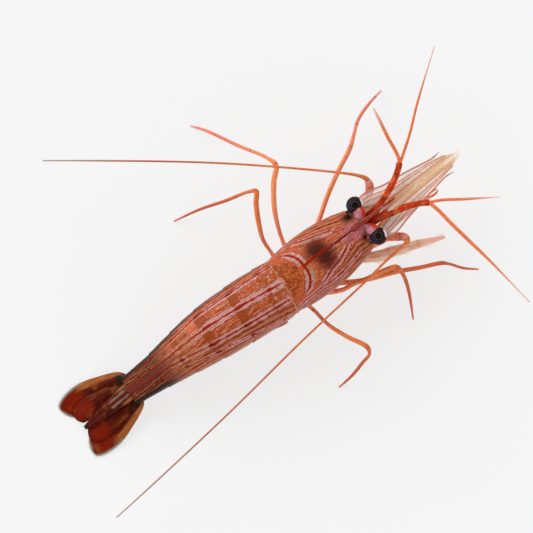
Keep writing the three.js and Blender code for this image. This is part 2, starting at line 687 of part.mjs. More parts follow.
// Each route runs [x, y, z, radius] from the leg's base beside the thorax to its foot.
const LEGS = {
  [LEFT]: {
    3: [
      [5.4, 2.5, 4.7, 0.6], [6.8, 3.7, 3.9, 0.5], [10.3, 5.5, 4.4, 0.42], [13.9, 7.7, 5.6, 0.42],
      [17.6, 9.6, 6.7, 0.42], [20.9, 11.1, 7.5, 0.46], [22.6, 12.5, 6.7, 0.36], [24.6, 14.3, 4.6, 0.3],
      [27.3, 15.6, 2.4, 0.27], [30.2, 16.5, 0, 0.2],
    ],
    4: [
      [3.4, 2.5, 4.7, 0.6], [3.55, 3.8, 3.9, 0.5], [4.0, 6.2, 4.4, 0.42], [4.7, 8.3, 5.4, 0.42],
      [6.2, 10.9, 6.8, 0.42], [8.5, 13.9, 8.1, 0.42], [10.3, 15.7, 8.7, 0.44], [10.1, 17.4, 8.3, 0.38],
      [7.8, 22.2, 5.4, 0.3], [5.0, 28.3, 1.2, 0.26], [3.6, 30.1, 0, 0.2],
    ],
    5: [
      [1.4, 2.3, 4.7, 0.6], [1.4, 3.8, 3.9, 0.48], [1.6, 6.2, 4.4, 0.4], [1.9, 8.3, 5.4, 0.4],
      [3.0, 10.7, 6.8, 0.4], [4.4, 13.0, 7.9, 0.4], [5.5, 14.4, 8.3, 0.42], [4.6, 15.1, 7.8, 0.34],
      [1.1, 16.6, 5.0, 0.3], [-3.2, 18.6, 1.8, 0.25], [-7.3, 19.8, 0, 0.2],
    ],
  },
  [RIGHT]: {
    3: [
      [5.4, -2.5, 4.7, 0.6], [6.6, -3.5, 3.9, 0.5], [9.0, -5.1, 4.1, 0.42], [11.4, -6.5, 4.9, 0.42],
      [14.8, -8.0, 5.7, 0.42], [18.3, -9.9, 6.4, 0.44], [21.3, -11.4, 6.8, 0.46], [22.2, -12.1, 5.8, 0.36],
      [23.6, -13.5, 2.8, 0.28], [25.4, -14.7, 0, 0.2],
    ],
    4: [
      [3.4, -2.5, 4.7, 0.6], [4.4, -3.6, 3.9, 0.5], [6.8, -5.1, 4.4, 0.42], [8.8, -5.7, 6.0, 0.42],
      [10.9, -6.5, 7.3, 0.42], [14.1, -7.4, 8.8, 0.42], [15.5, -8.1, 9.0, 0.44], [15.6, -9.4, 7.8, 0.36],
      [14.8, -11.5, 4.4, 0.3], [12.8, -14.8, 0, 0.2],
    ],
    5: [
      [1.4, -2.3, 4.7, 0.6], [1.4, -3.8, 3.9, 0.48], [1.7, -5.5, 4.4, 0.4], [1.9, -7.4, 5.8, 0.4],
      [2.2, -9.2, 6.8, 0.4], [3.2, -11.9, 7.8, 0.42], [4.6, -15.0, 8.5, 0.44], [4.3, -15.9, 7.8, 0.34],
      [2.6, -16.1, 5.6, 0.3], [0.1, -16.3, 2.6, 0.27], [-2.5, -16.2, 0, 0.2],
    ],
  },
};
const CHELIPEDS = {
  [LEFT]: {
    1: [
      [8.6, 1.4, 3.75, 0.55], [11.5, 1.75, 2.7, 0.42], [15.0, 1.9, 3.6, 0.42], [18.6, 1.8, 4.9, 0.42],
      [21.6, 1.5, 5.9, 0.4], [23.2, 1.35, 6.3, 0.48],
    ],
    2: [
      [6.9, 0.8, 3.6, 0.5], [10.5, 0.65, 2.4, 0.36], [14.5, 0.6, 2.8, 0.34], [18.5, 0.6, 4.2, 0.3],
      [21.5, 0.65, 5.9, 0.3], [23.6, 0.7, 7.0, 0.36],
    ],
  },
  [RIGHT]: {
    1: [
      [8.6, -1.4, 3.75, 0.55], [12.5, -1.9, 2.8, 0.42], [17.4, -2.0, 4.2, 0.42], [21.2, -1.9, 5.4, 0.42],
      [24.4, -1.95, 6.1, 0.4], [25.9, -2.0, 6.4, 0.48],
    ],
    2: [
      [6.9, -0.8, 3.6, 0.5], [10.5, -0.65, 2.4, 0.36], [14.5, -0.6, 2.8, 0.34], [18.5, -0.6, 4.2, 0.3],
      [21.5, -0.65, 5.9, 0.3], [23.6, -0.7, 7.0, 0.36],
    ],
  },
};
const PINCER = { root: 0.4, length: 1.9, bow: 0.29, spread: 0.16, radius: 0.27, tip: 0.16 };
const MAXILLIPED = {
  [LEFT]: [
    [10.6, 1.9, 4.7, 0.6], [12.4, 2.4, 4.7, 0.75], [15.0, 2.7, 5.0, 0.8], [18.5, 2.7, 5.6, 0.66],
    [22.0, 2.5, 6.2, 0.5], [25.2, 2.3, 6.6, 0.22],
  ],
  [RIGHT]: [
    [10.6, -1.9, 4.7, 0.6], [12.4, -3.2, 4.7, 0.75], [14.6, -4.5, 4.9, 0.85], [17.2, -5.5, 5.3, 0.8],
    [20.4, -6.8, 5.7, 0.62], [24.2, -8.4, 6.0, 0.26],
  ],
};

/** A walking leg whose last row is sunk a little so that the floor trims a flat foot. */
function walkingLeg(rows) {
  const sunk = rows.map((row, i) => (i === rows.length - 1 ? [row[0], row[1], -FOOT_SINK, row[3]] : row));
  return limb(sunk, { sides: 7, spans: 2, domes: [0] });
}

/** Two small fingers that carry on from the last stretch of a leg. */
function pincer(rows) {
  const [before, last] = rows.slice(-2).map(([x, y, z]) => new THREE.Vector3(x, y, z));
  const along = last.clone().sub(before).normalize();
  const across = along.clone().cross(new THREE.Vector3(0, 0, 1)).normalize();
  const fingers = [1, -1].map((way) => {
    const place = (ahead, aside) => last.clone().addScaledVector(along, ahead).addScaledVector(across, way * aside);
    const start = place(-PINCER.root, 0);
    const middle = place(PINCER.length / 2, PINCER.bow);
    const tip = place(PINCER.length, PINCER.spread);
    return limb([[...start, PINCER.radius], [...middle, PINCER.radius * 0.9], [...tip, PINCER.tip]],
      { sides: 6, spans: 2, domes: [1] });
  });
  return join(...fingers);
}

function buildLegs() {
  const body = [thoraxCutter(), carapaceCutter()];
  for (const side of [LEFT, RIGHT]) {
    const maxilliped = limb(MAXILLIPED[side], { sides: 8, spans: 2, domes: [0, 1] });
    const mouthCutter = blade(MOUTH, { ...BODY_FORM, grow: GAP });
    node(named('maxilliped_3', side), carve(maxilliped, ...body, mouthCutter), COLOURS.leg);
    for (const [number, rows] of Object.entries(CHELIPEDS[side])) {
      const leg = join(limb(rows, { sides: 7, spans: 2 }), pincer(rows));
      node(named(`leg_${number}`, side), carve(leg, ...body), COLOURS.leg);
    }
    for (const [number, rows] of Object.entries(LEGS[side])) {
      node(named(`leg_${number}`, side), carve(walkingLeg(rows), ...body), COLOURS.leg);
    }
  }
}

// ---- Swimmerets ----------------------------------------------------------------------------------

const SWIMMERETS = 5;
const SWIMMERET = {
  along: 0.55, // of the somite
  spread: 0.4, // of the somite's half width
  shrink: 0.09, // of the size, for each somite after the second
  neck: 0.3,
  stem: { length: 1.6, back: 0.4, width: 0.5, thickness: 0.4 },
  leaf: { length: 3.3, back: 1.9, out: 1.3, width: 0.82, thickness: 0.3, tip: 0.26 },
  outerLeaf: { root: -0.1, middle: 0.42, bow: 0.75, end: 0.9, size: 0.85 }, // shares of the inner one
};
const SWIMMERET_FORM = { sides: 8, spans: 1, squareness: 2, rolled: true };

/** One swimmeret, hanging back from the belly: a stem that runs into an inner leaf, and an outer leaf. */
function swimmeret(index, side) {
  const { along, spread, shrink, neck, stem, leaf, outerLeaf } = SWIMMERET;
  const u = somiteU(index, along);
  const { x, y, z } = ABDOMEN.point(u);
  const [width, height] = ABDOMEN.size(u);
  const scale = 1 - shrink * Math.max(0, index - 1);
  const belly = height * BELLY_DEPTH * (1 - spread ** BELLY_SQUARENESS) ** (1 / BELLY_SQUARENESS);
  const top = new THREE.Vector3(x, y + side * width * spread, z - belly - GAP);
  const place = (start, ...moves) => (
    moves.reduce((at, [way, share]) => at.addScaledVector(way, share), start.clone()));
  const down = new THREE.Vector3(0, 0, -1);
  const knee = place(top, [new THREE.Vector3(-stem.back, 0, -stem.length), scale]);
  const run = new THREE.Vector3(-leaf.back, 0, -leaf.length).multiplyScalar(scale);
  const outward = new THREE.Vector3(0, side * leaf.out * scale, 0);
  const inner = [
    [...top, stem.width, stem.thickness],
    [...place(top, [down, neck]), stem.width, stem.thickness],
    [...knee, stem.width, stem.thickness],
    [...place(knee, [run, 0.5]), leaf.width * scale, leaf.thickness],
    [...place(knee, [run, 1]), leaf.tip, leaf.tip],
  ];
  const outer = [
    [...place(knee, [run, outerLeaf.root]), leaf.tip, leaf.tip],
    [...place(knee, [run, outerLeaf.middle], [outward, outerLeaf.bow]), leaf.width * outerLeaf.size * scale,
      leaf.thickness],
    [...place(knee, [run, outerLeaf.end], [outward, 1]), leaf.tip, leaf.tip],
  ];
  return join(blade(inner, SWIMMERET_FORM), blade(outer, SWIMMERET_FORM));
}

function buildSwimmerets() {
  for (let index = 0; index < SWIMMERETS; index += 1) {
    for (const side of [LEFT, RIGHT]) {
      node(named(`swimmeret_${index + 1}`, side), swimmeret(index, side), COLOURS.leg);
    }
  }
}

// ---- The whole animal ----------------------------------------------------------------------------

buildCarapace();
buildThorax();
buildAbdomen();
buildTailFan();
buildEyes();
buildAntennules();
buildAntennae();
buildLegs();
buildSwimmerets();

const bounds = new THREE.Box3().setFromObject(shrimp);
const middle = bounds.getCenter(new THREE.Vector3());
shrimp.position.set(-middle.x, -middle.y, -bounds.min.z);
shrimp.updateMatrixWorld(true);

export default shrimp;
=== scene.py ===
"""A peppermint shrimp at life size: the surfaces, finishes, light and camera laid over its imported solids.

Lengths are millimetres in the animal's own frame until a mesh is made: +X runs to the head, +Y to the
animal's left and +Z up, x = 0 is the rear edge of the carapace and z = 0 the floor.
"""

import logging
from dataclasses import dataclass, field, replace
from enum import Enum

import bpy
import numpy as np
from mathutils import Matrix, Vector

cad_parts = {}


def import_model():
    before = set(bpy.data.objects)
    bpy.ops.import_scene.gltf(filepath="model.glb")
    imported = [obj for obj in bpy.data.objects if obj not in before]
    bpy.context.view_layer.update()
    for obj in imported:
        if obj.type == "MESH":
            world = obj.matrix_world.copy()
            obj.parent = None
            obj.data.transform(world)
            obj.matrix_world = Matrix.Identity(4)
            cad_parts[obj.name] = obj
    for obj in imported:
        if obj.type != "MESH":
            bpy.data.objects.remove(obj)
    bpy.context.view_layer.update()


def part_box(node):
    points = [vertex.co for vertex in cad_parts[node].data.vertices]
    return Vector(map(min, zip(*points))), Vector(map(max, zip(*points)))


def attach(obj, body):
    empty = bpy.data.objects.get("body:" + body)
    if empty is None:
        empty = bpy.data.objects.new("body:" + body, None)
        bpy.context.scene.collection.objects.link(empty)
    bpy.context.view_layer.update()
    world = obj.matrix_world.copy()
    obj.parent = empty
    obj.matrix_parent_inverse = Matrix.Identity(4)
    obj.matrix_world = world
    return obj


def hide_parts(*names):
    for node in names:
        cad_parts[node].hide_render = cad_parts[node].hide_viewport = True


Array = np.ndarray
Fields = dict[str, Array | float]
Rows = tuple[tuple[float, ...], ...]
Pair = tuple[Rows, Rows]  # the left side's rows and the right side's
Tree = bpy.types.NodeTree
Socket = bpy.types.NodeSocket
log = logging.getLogger("shrimp")

MM = 0.001
EYE_CENTRE = np.array([16.1, 2.95, 11.6])
LEFT, RIGHT = 1, -1
SIDES = {LEFT: "left", RIGHT: "right"}
UP = np.array([0.0, 0.0, 1.0])
HAIR_ROWS = 5  # sections in each drawn hair
PATH_SAMPLES = 800  # points at which the length of a path is measured
UNMARKED = 2.0  # distance from a marking's edge, in mm, at which nothing of it shows
NO_JOINT = 9.0  # distance from the nearest joint, in mm, of a surface without any


# ---- Arithmetic on arrays ----


def unit(vectors: Array) -> Array:
    """Vectors divided by their own lengths: v / |v|."""
    return vectors / np.maximum(np.linalg.norm(vectors, axis=-1, keepdims=True), 1e-9)


def smoothstep(low: float, high: float, value: Array) -> Array:
    """0 below low, 1 above high and t^2 (3 - 2t) between them."""
    t = np.clip((np.asarray(value, float) - low) / (high - low), 0, 1)
    return t * t * (3 - 2 * t)


def bend(value: Array, squareness: float) -> Array:
    """A cosine or sine of a superellipse: sign(v) |v|^(2 / squareness)."""
    return np.sign(value) * np.abs(value) ** (2 / squareness)


def ring(count: int) -> Array:
    """Angles round a closed section, in radians, as one row: 2 pi k / count."""
    return np.linspace(0, 2 * np.pi, count, endpoint=False)[None, :]


def blend_rows(rows: Array, place: Array) -> Array:
    """The uniform Catmull-Rom value at fractional row numbers.

    With t = (next - previous) / 2 at each row, a stretch from p to q is
    p + t0 w + (3 (q - p) - 2 t0 - t1) w^2 + (2 (p - q) + t0 + t1) w^3.

    Args:
        rows: one row of values for each knot.
        place: fractional row numbers.

    Returns:
        One row of values for each place.
    """
    knots = np.vstack([rows[:1], rows, rows[-1:]])
    low = np.clip(place.astype(int), 0, len(rows) - 2)
    w = np.clip(place - low, 0, 1)[:, None]
    before, start, end, after = (knots[low + k] for k in range(4))
    t0, t1 = (end - before) / 2, (after - start) / 2
    return start + t0 * w + (3 * (end - start) - 2 * t0 - t1) * w**2 + (2 * (start - end) + t0 + t1) * w**3


def bell(value: Array, centre: float, width: float) -> Array:
    """A bell of height 1: exp(-((v - centre) / width)^2)."""
    return np.exp(-(((value - centre) / width) ** 2))


def normals(grid: Array) -> Array:
    """Unit normals of a grid of points: the cross product of its two directions of travel."""
    return unit(np.cross(np.gradient(grid, axis=0), np.gradient(grid, axis=1)))


def run_along(points: Array) -> Array:
    """Distance run at each point of a line: the running sum of its steps, from 0."""
    return np.concatenate([[0], np.cumsum(np.linalg.norm(np.diff(points, axis=0), axis=1))])


def read_off(distance: Array, run: Array, points: Array) -> Array:
    """Points at given distances along a line, on the straight lines between its own."""
    return np.stack([np.interp(distance, run, points[:, k]) for k in range(3)], axis=1)


def across_from_middle(grid: Array, middle: int) -> Array:
    """Distance along each row from its middle column, positive before it.

    Args:
        grid: (rows, columns, 3) points, whose first columns lie on the animal's left.
        middle: the column on the mid-dorsal line.

    Returns:
        (rows, columns) millimetres, s(middle) - s(column) with s the running sum of the steps.
    """
    steps = np.linalg.norm(np.diff(grid, axis=1), axis=2)
    run = np.concatenate([np.zeros((len(grid), 1)), np.cumsum(steps, axis=1)], axis=1)
    return run[:, middle : middle + 1] - run


@dataclass(frozen=True)
class Route:
    """A smooth path through rows of [x, y, z, sizes...], with u = 0 at the first row and 1 at the last."""

    rows: Array

    @classmethod
    def of(cls, rows: Rows) -> "Route":
        """A route through a table of rows."""
        return cls(np.array(rows, float))

    def place(self, u: Array) -> Array:
        """Fractional row numbers at u: u (n - 1)."""
        return np.clip(u, 0, 1) * (len(self.rows) - 1)

    def point(self, u: Array) -> Array:
        """Points of the centripetal Catmull-Rom path.

        With d the square roots of the distances between neighbouring rows, the slopes at the ends of a
        stretch p1 p2 are t1 = d1 ((p1 - p0)/d0 - (p2 - p0)/(d0 + d1) + (p2 - p1)/d1) and its mirror t2.

        Args:
            u: values from 0 to 1.

        Returns:
            (n, 3) points.
        """
        p = self.rows[:, :3]
        knots = np.vstack([2 * p[0] - p[1], p, 2 * p[-1] - p[-2]])
        place = self.place(u)
        low = np.minimum(place.astype(int), len(p) - 2)
        w = (place - low)[:, None]
        p0, p1, p2, p3 = (knots[low + k] for k in range(4))
        d0, d1, d2 = (np.maximum(np.linalg.norm(b - a, axis=1, keepdims=True), 1e-6) ** 0.5
                      for a, b in ((p0, p1), (p1, p2), (p2, p3)))
        t1 = ((p1 - p0) / d0 - (p2 - p0) / (d0 + d1) + (p2 - p1) / d1) * d1
        t2 = ((p2 - p1) / d1 - (p3 - p1) / (d1 + d2) + (p3 - p2) / d2) * d1
        return p1 + t1 * w + (3 * (p2 - p1) - 2 * t1 - t2) * w**2 + (2 * (p1 - p2) + t1 + t2) * w**3

    def size(self, u: Array) -> list[Array]:
        """The sizes at u, each as a column."""
        values = blend_rows(self.rows[:, 3:], self.place(u))
        return [values[:, k : k + 1] for k in range(values.shape[1])]

    def frames(self, u: Array, upright: bool = True) -> tuple[Array, Array, Array]:
        """The directions of each cross-section.

        Args:
            u: values from 0 to 1.
            upright: whether the sections stand upright, or keep to the axis least along the path.

        Returns:
            Unit vectors along the path, to its right-hand side and up.
        """
        along = unit(self.point(np.minimum(u + 1e-3, 1)) - self.point(np.maximum(u - 1e-3, 0)))
        reference = UP if upright else np.eye(3)[np.argmin(np.abs(along).max(axis=0))]
        side = unit(np.cross(along, reference))
        return along, side, np.cross(side, along)

    def sweep(self, u: Array, side: Array, up: Array, upright: bool = True) -> Array:
        """Carries sections along the path: origin + side S + up U.

        Args:
            u: (n,) places of the sections.
            side: (n, m) distances to the right-hand side.
            up: (n, m) distances upwards.
            upright: as in frames.

        Returns:
            (n, m, 3) points.
        """
        _, right, top = self.frames(u, upright)
        return self.point(u)[:, None] + side[..., None] * right[:, None] + up[..., None] * top[:, None]

    def even(self, step: float, crowd: float = 0.0) -> tuple[Array, Array]:
        """Places at even distances, with more of them in the domed ends.

        Args:
            step: millimetres between sections.
            crowd: length of each end that gets the rows of a quarter circle.

        Returns:
            The u values and the distance run at each.
        """
        fine = np.linspace(0, 1, PATH_SAMPLES)
        run = run_along(self.point(fine))
        distance = np.linspace(0, run[-1], max(4, int(np.ceil(run[-1] / step))) + 1)
        if crowd:
            ends = crowd * (1 - np.cos(np.linspace(0, np.pi / 2, 6)))
            inner = distance[(distance > crowd * 1.05) & (distance < run[-1] - crowd * 1.05)]
            distance = np.concatenate([ends, inner, (run[-1] - ends)[::-1]])
        return np.interp(distance, run, fine), distance


# ---- Skins and pieces ----


@dataclass
class Skin:
    """Closed surfaces gathered for one piece, with the fields that its finish reads."""

    points: list[Array] = field(default_factory=list)
    quads: list[Array] = field(default_factory=list)
    tris: list[Array] = field(default_factory=list)
    fields: list[Fields] = field(default_factory=list)
    count: int = 0

    def _keep(self, points: Array, quads: Array, tris: Array, fields: Fields) -> "Skin":
        """Keeps closed surfaces, turned outwards.

        The sum of a . (b x c) over the triangles is six times the volume, so a negative one turns them.

        Args:
            points: (n, 3) millimetres.
            quads: (m, 4) corners.
            tris: (k, 3) corners.
            fields: values for each point, by name.

        Returns:
            The skin itself.
        """
        corners = np.vstack([quads[:, [0, 1, 2]], quads[:, [0, 2, 3]], tris])
        centred = points - points.mean(axis=0)
        a, b, c = (centred[corners[:, k]] for k in range(3))
        if np.einsum("ij,ij->", a, np.cross(b, c)) < 0:
            quads, tris = quads[:, ::-1], tris[:, ::-1]
        self.points.append(points)
        self.quads.append(quads + self.count)
        self.tris.append(tris + self.count)
        self.fields.append({name: np.asarray(value, float) for name, value in fields.items()})
        self.count += len(points)
        return self

    def tube(self, grid: Array, **fields: Array | float) -> "Skin":
        """Adds a closed tube whose rows are rings, fanned shut at both ends.

        Args:
            grid: (rows, columns, 3) points.
            fields: values that broadcast to (rows, columns).

        Returns:
            The skin itself.
        """
        rows, columns = grid.shape[:2]
        ids = np.arange(rows * columns).reshape(rows, columns)
        after = np.roll(ids, -1, axis=1)
        quads = np.stack([ids[:-1], after[:-1], after[1:], ids[1:]], axis=-1).reshape(-1, 4)
        first, last = (np.full(columns, rows * columns + k) for k in range(2))
        caps = [np.stack([after[0], ids[0], first], axis=-1), np.stack([ids[-1], after[-1], last], axis=-1)]
        points = np.vstack([grid.reshape(-1, 3), grid[0].mean(axis=0), grid[-1].mean(axis=0)])
        spread = {name: np.broadcast_to(value, (rows, columns)) for name, value in fields.items()}
        closed = {name: np.concatenate([value.ravel(), [value[0].mean(), value[-1].mean()]])
                  for name, value in spread.items()}
        return self._keep(points, quads, np.vstack(caps), closed)

    def plate(self, outer: Array, inner: Array, **fields: Array | float) -> "Skin":
        """Adds a thin plate: an outer and an inner grid joined round their border.

        Args:
            outer: (rows, columns, 3) points of the outer face.
            inner: the points under them.
            fields: values that broadcast to (rows, columns), given to both faces.

        Returns:
            The skin itself.
        """
        rows, columns = outer.shape[:2]
        total = rows * columns
        ids = np.arange(total).reshape(rows, columns)
        top = np.stack([ids[:-1, :-1], ids[:-1, 1:], ids[1:, 1:], ids[1:, :-1]], axis=-1).reshape(-1, 4)
        border = np.concatenate([ids[0], ids[1:, -1], ids[-1, -2::-1], ids[-2:0:-1, 0]])
        after = np.roll(border, -1)
        wall = np.stack([after, border, border + total, after + total], axis=-1)
        quads = np.vstack([top, top[:, ::-1] + total, wall])
        points = np.vstack([outer.reshape(-1, 3), inner.reshape(-1, 3)])
        both = {name: np.tile(np.broadcast_to(value, (rows, columns)).ravel(), 2)
                for name, value in fields.items()}
        return self._keep(points, quads, np.zeros((0, 3), int), both)

    def strands(self, roots: Array, travel: Array, curl: Array, radius: float, along: Array,
                lane: Array | float) -> None:
        """Tapered hairs of three sides: root + travel t + curl t^2, radius (1 - 0.85 t).

        Each hair's patch of the unwrap, 0.002 by 0.003, lies at its root's own place on the limb or blade:
        its share of the length, and the lane that its row of roots has to itself.

        Args:
            roots: (n, 3) points.
            travel: (n, 3) the way each hair sets out, with its length.
            curl: (n, 3), or (1, 3) for all of them, how far its tip is carried aside.
            radius: at the root.
            along: (n,) each root's share of the length.
            lane: the row's place across the unwrap, from 0 to 1, one for all or one for each root.
        """
        t = np.linspace(0, 1, HAIR_ROWS)[None, :, None]
        middle = roots[:, None] + travel[:, None] * t + curl[:, None] * t**2
        right = unit(np.cross(travel, UP + 0.01))
        top = unit(np.cross(right, travel))
        angle = ring(3)[0]
        wheel = np.cos(angle)[:, None] * right[:, None] + np.sin(angle)[:, None] * top[:, None]
        points = middle[:, :, None] + wheel[:, None] * (radius * (1 - 0.85 * t))[..., None]
        ids = np.arange(len(roots) * HAIR_ROWS * 3).reshape(len(roots), HAIR_ROWS, 3)
        after = np.roll(ids, -1, axis=2)
        quads = np.stack([ids[:, :-1], after[:, :-1], after[:, 1:], ids[:, 1:]], axis=-1).reshape(-1, 4)
        tris = np.vstack([ids[:, 0, ::-1], ids[:, -1]])
        share = np.broadcast_to(t[..., 0, None], ids.shape)
        uv_x = np.broadcast_to(0.99 * along[:, None, None] + 0.001 * np.arange(3), ids.shape)
        uv_y = 0.99 * np.broadcast_to(lane, len(roots))[:, None, None] + 0.003 * share
        fields = {"share": share.ravel(), "uv_x": uv_x.ravel(), "uv_y": uv_y.ravel()}
        self._keep(points.reshape(-1, 3), quads, tris, fields)


def put(name: str, data: bpy.types.ID) -> bpy.types.Object:
    """Makes an object and puts it in the scene.

    Args:
        name: of the object.
        data: its mesh, light or camera.

    Returns:
        The new object.
    """
    made = bpy.data.objects.new(name, data)
    bpy.context.scene.collection.objects.link(made)
    return made


@dataclass(frozen=True)
class Bench:
    """Where surfaces become pieces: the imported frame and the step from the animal's frame to it."""

    shift: Array

    @classmethod
    def from_frame(cls) -> "Bench":
        """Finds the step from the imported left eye, whose centre the animal's own frame knows."""
        low, high = (np.array(corner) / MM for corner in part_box("eye_left"))
        return cls((low + high) / 2 - EYE_CENTRE)

    def metres(self, points: Array) -> Array:
        """Points of the animal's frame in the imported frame, in metres."""
        return (points + self.shift) * MM

    def piece(self, name: str, skin: Skin, finish: "Finish", slot: str, *nodes: str) -> None:
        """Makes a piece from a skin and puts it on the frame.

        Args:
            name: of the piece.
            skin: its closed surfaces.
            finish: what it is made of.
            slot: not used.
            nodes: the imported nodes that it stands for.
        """
        mesh = bpy.data.meshes.new(name)
        points = self.metres(np.vstack(skin.points))
        quads, tris = np.vstack(skin.quads), np.vstack(skin.tris)
        mesh.vertices.add(len(points))
        mesh.vertices.foreach_set("co", points.astype(np.float32).ravel())
        corners = np.concatenate([quads.ravel(), tris.ravel()])
        mesh.loops.add(len(corners))
        mesh.loops.foreach_set("vertex_index", corners.astype(np.int32))
        mesh.polygons.add(len(quads) + len(tris))
        starts = np.concatenate([np.arange(len(quads)) * 4, quads.size + np.arange(len(tris)) * 3])
        mesh.polygons.foreach_set("loop_start", starts.astype(np.int32))
        mesh.update(calc_edges=True)
        mesh.polygons.foreach_set("use_smooth", np.ones(len(mesh.polygons), bool))
        mesh.set_sharp_from_angle(angle=1.0)
        for key in sorted(set().union(*skin.fields) - {"uv_x", "uv_y"}):
            values = np.concatenate([part.get(key, np.zeros(len(block)))
                                     for part, block in zip(skin.fields, skin.points)])
            mesh.attributes.new(key, "FLOAT", "POINT").data.foreach_set("value", values.astype(np.float32))
        if all("uv_x" in part for part in skin.fields):
            uv = [np.concatenate([part[k] for part in skin.fields])[corners] for k in ("uv_x", "uv_y")]
            flat = np.stack(uv, axis=1).astype(np.float32).ravel()
            mesh.uv_layers.new(name="OFBake").data.foreach_set("uv", flat)
        mesh.materials.append(finish.material())
        piece = put(name, mesh)
        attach(piece, "root")
        if nodes:
            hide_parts(*nodes)
        log.info("%s: %d faces", name, len(mesh.polygons))


# ---- Finishes ----


def linear(hex_colour: str) -> tuple[float, float, float, float]:
    """An sRGB hex colour as linear values: c / 12.92 below 0.04045, else ((c + 0.055) / 1.055)^2.4."""
    channels = (int(hex_colour[k : k + 2], 16) / 255 for k in (1, 3, 5))
    return (*(c / 12.92 if c <= 0.04045 else ((c + 0.055) / 1.055) ** 2.4 for c in channels), 1.0)


def add_node(tree: Tree, kind: str, links: dict | None = None, **settings: object) -> bpy.types.Node:
    """Adds a node.

    Args:
        tree: the node tree.
        kind: the node's type, without the prefix that all of these share.
        links: input names or numbers, each with an output socket to link or a value to set.
        settings: the node's own properties.

    Returns:
        The new node.
    """
    node = tree.nodes.new("ShaderNode" + kind)
    for key, value in settings.items():
        setattr(node, key, value)
    for key, value in (links or {}).items():
        if isinstance(value, Socket):
            tree.links.new(value, node.inputs[key])
        else:
            node.inputs[key].default_value = value
    return node


def cleared(block: bpy.types.Material | bpy.types.World) -> Tree:
    """Gives a block nodes and clears away the ones it starts with.

    Args:
        block: a new material or world.

    Returns:
        Its node tree, empty.
    """
    block.use_nodes = True
    block.node_tree.nodes.clear()
    return block.node_tree


# Chitin's 1.53 over sea water's 1.33: the animal is shown as it looks in its element, where the
# cuticle mirrors little and the pigment reads full and deep.
WET_CHITIN = 1.15


class Pattern(Enum):
    """What a marking is read from, where it isn't one of the surface's own fields."""

    CLOUD = "soft noise"
    STREAK = "noise drawn out along the body"
    GRANULE = "round cells"


@dataclass(frozen=True)
class Marking:
    """A colour that comes in, up to its strength, where its source passes from start to full.

    The source is a pattern or the name of a field, which a pitch folds into even stripes. Lengths are
    millimetres; a wobble moves the edge by that much of the source's own unit, its noise is drawn out
    along the body if it has a stretch, and a zone is a field from 0 to 1 that it keeps to.
    """

    colour: str
    start: float
    full: float
    strength: float
    source: Pattern | str
    size: float = 0.5
    stretch: float = 0.0
    pitch: float = 0.0
    zone: str = ""
    wobble: float = 0.0

    def drawn(self, tree: Tree) -> Socket:
        """Places in millimetres as (along / stretch, across, size), so that noise there runs in streaks."""
        along = add_node(tree, "Attribute", attribute_name="along").outputs["Fac"]
        across = add_node(tree, "Attribute", attribute_name="across").outputs["Fac"]
        slow = add_node(tree, "Math", {0: along, 1: 1 / self.stretch}, operation="MULTIPLY")
        return add_node(tree, "CombineXYZ", {0: slow.outputs[0], 1: across, 2: self.size}).outputs[0]

    def value(self, tree: Tree, place: Socket) -> Socket:
        """The source's value.

        Args:
            tree: the material's nodes.
            place: object coordinates, in metres.

        Returns:
            The socket that holds it.
        """
        where = {"Vector": place, "Scale": 1 / (self.size * MM)}
        if self.stretch:
            where = {"Vector": self.drawn(tree), "Scale": 1 / self.size}
        noise = where | {"Detail": 3.0, "Roughness": 0.6}
        if self.source in (Pattern.CLOUD, Pattern.STREAK):
            return add_node(tree, "TexNoise", noise).outputs["Fac"]
        if self.source is Pattern.GRANULE:
            return add_node(tree, "TexVoronoi", where).outputs["Distance"]
        raw = add_node(tree, "Attribute", attribute_name=self.source).outputs["Fac"]
        if self.wobble:
            stir = add_node(tree, "TexNoise", noise).outputs["Fac"]
            links = {0: stir, 1: 2 * self.wobble, 2: -self.wobble}
            offset = add_node(tree, "Math", links, operation="MULTIPLY_ADD").outputs[0]
            raw = add_node(tree, "Math", {0: raw, 1: offset}, operation="ADD").outputs[0]
        if self.pitch:
            return add_node(tree, "Math", {0: raw, 1: self.pitch}, operation="PINGPONG").outputs[0]
        return raw

    def lay(self, tree: Tree, place: Socket, under: Socket) -> Socket:
        """Lays the colour over what is under it.

        Args:
            tree: the material's nodes.
            place: object coordinates.
            under: the colour so far.

        Returns:
            The new colour.
        """
        low, high = sorted((self.start, self.full))
        ends = (0.0, self.strength) if self.full > self.start else (self.strength, 0.0)
        links = {"Value": self.value(tree, place), 1: low, 2: high, 3: ends[0], 4: ends[1]}
        mask = add_node(tree, "MapRange", links, interpolation_type="SMOOTHSTEP").outputs[0]
        if self.zone:
            zone = add_node(tree, "Attribute", attribute_name=self.zone).outputs["Fac"]
            mask = add_node(tree, "Math", {0: mask, 1: zone}, operation="MULTIPLY").outputs[0]
        mixed = add_node(tree, "Mix", {0: mask, 6: under, 7: linear(self.colour)}, data_type="RGBA")
        return mixed.outputs[2]


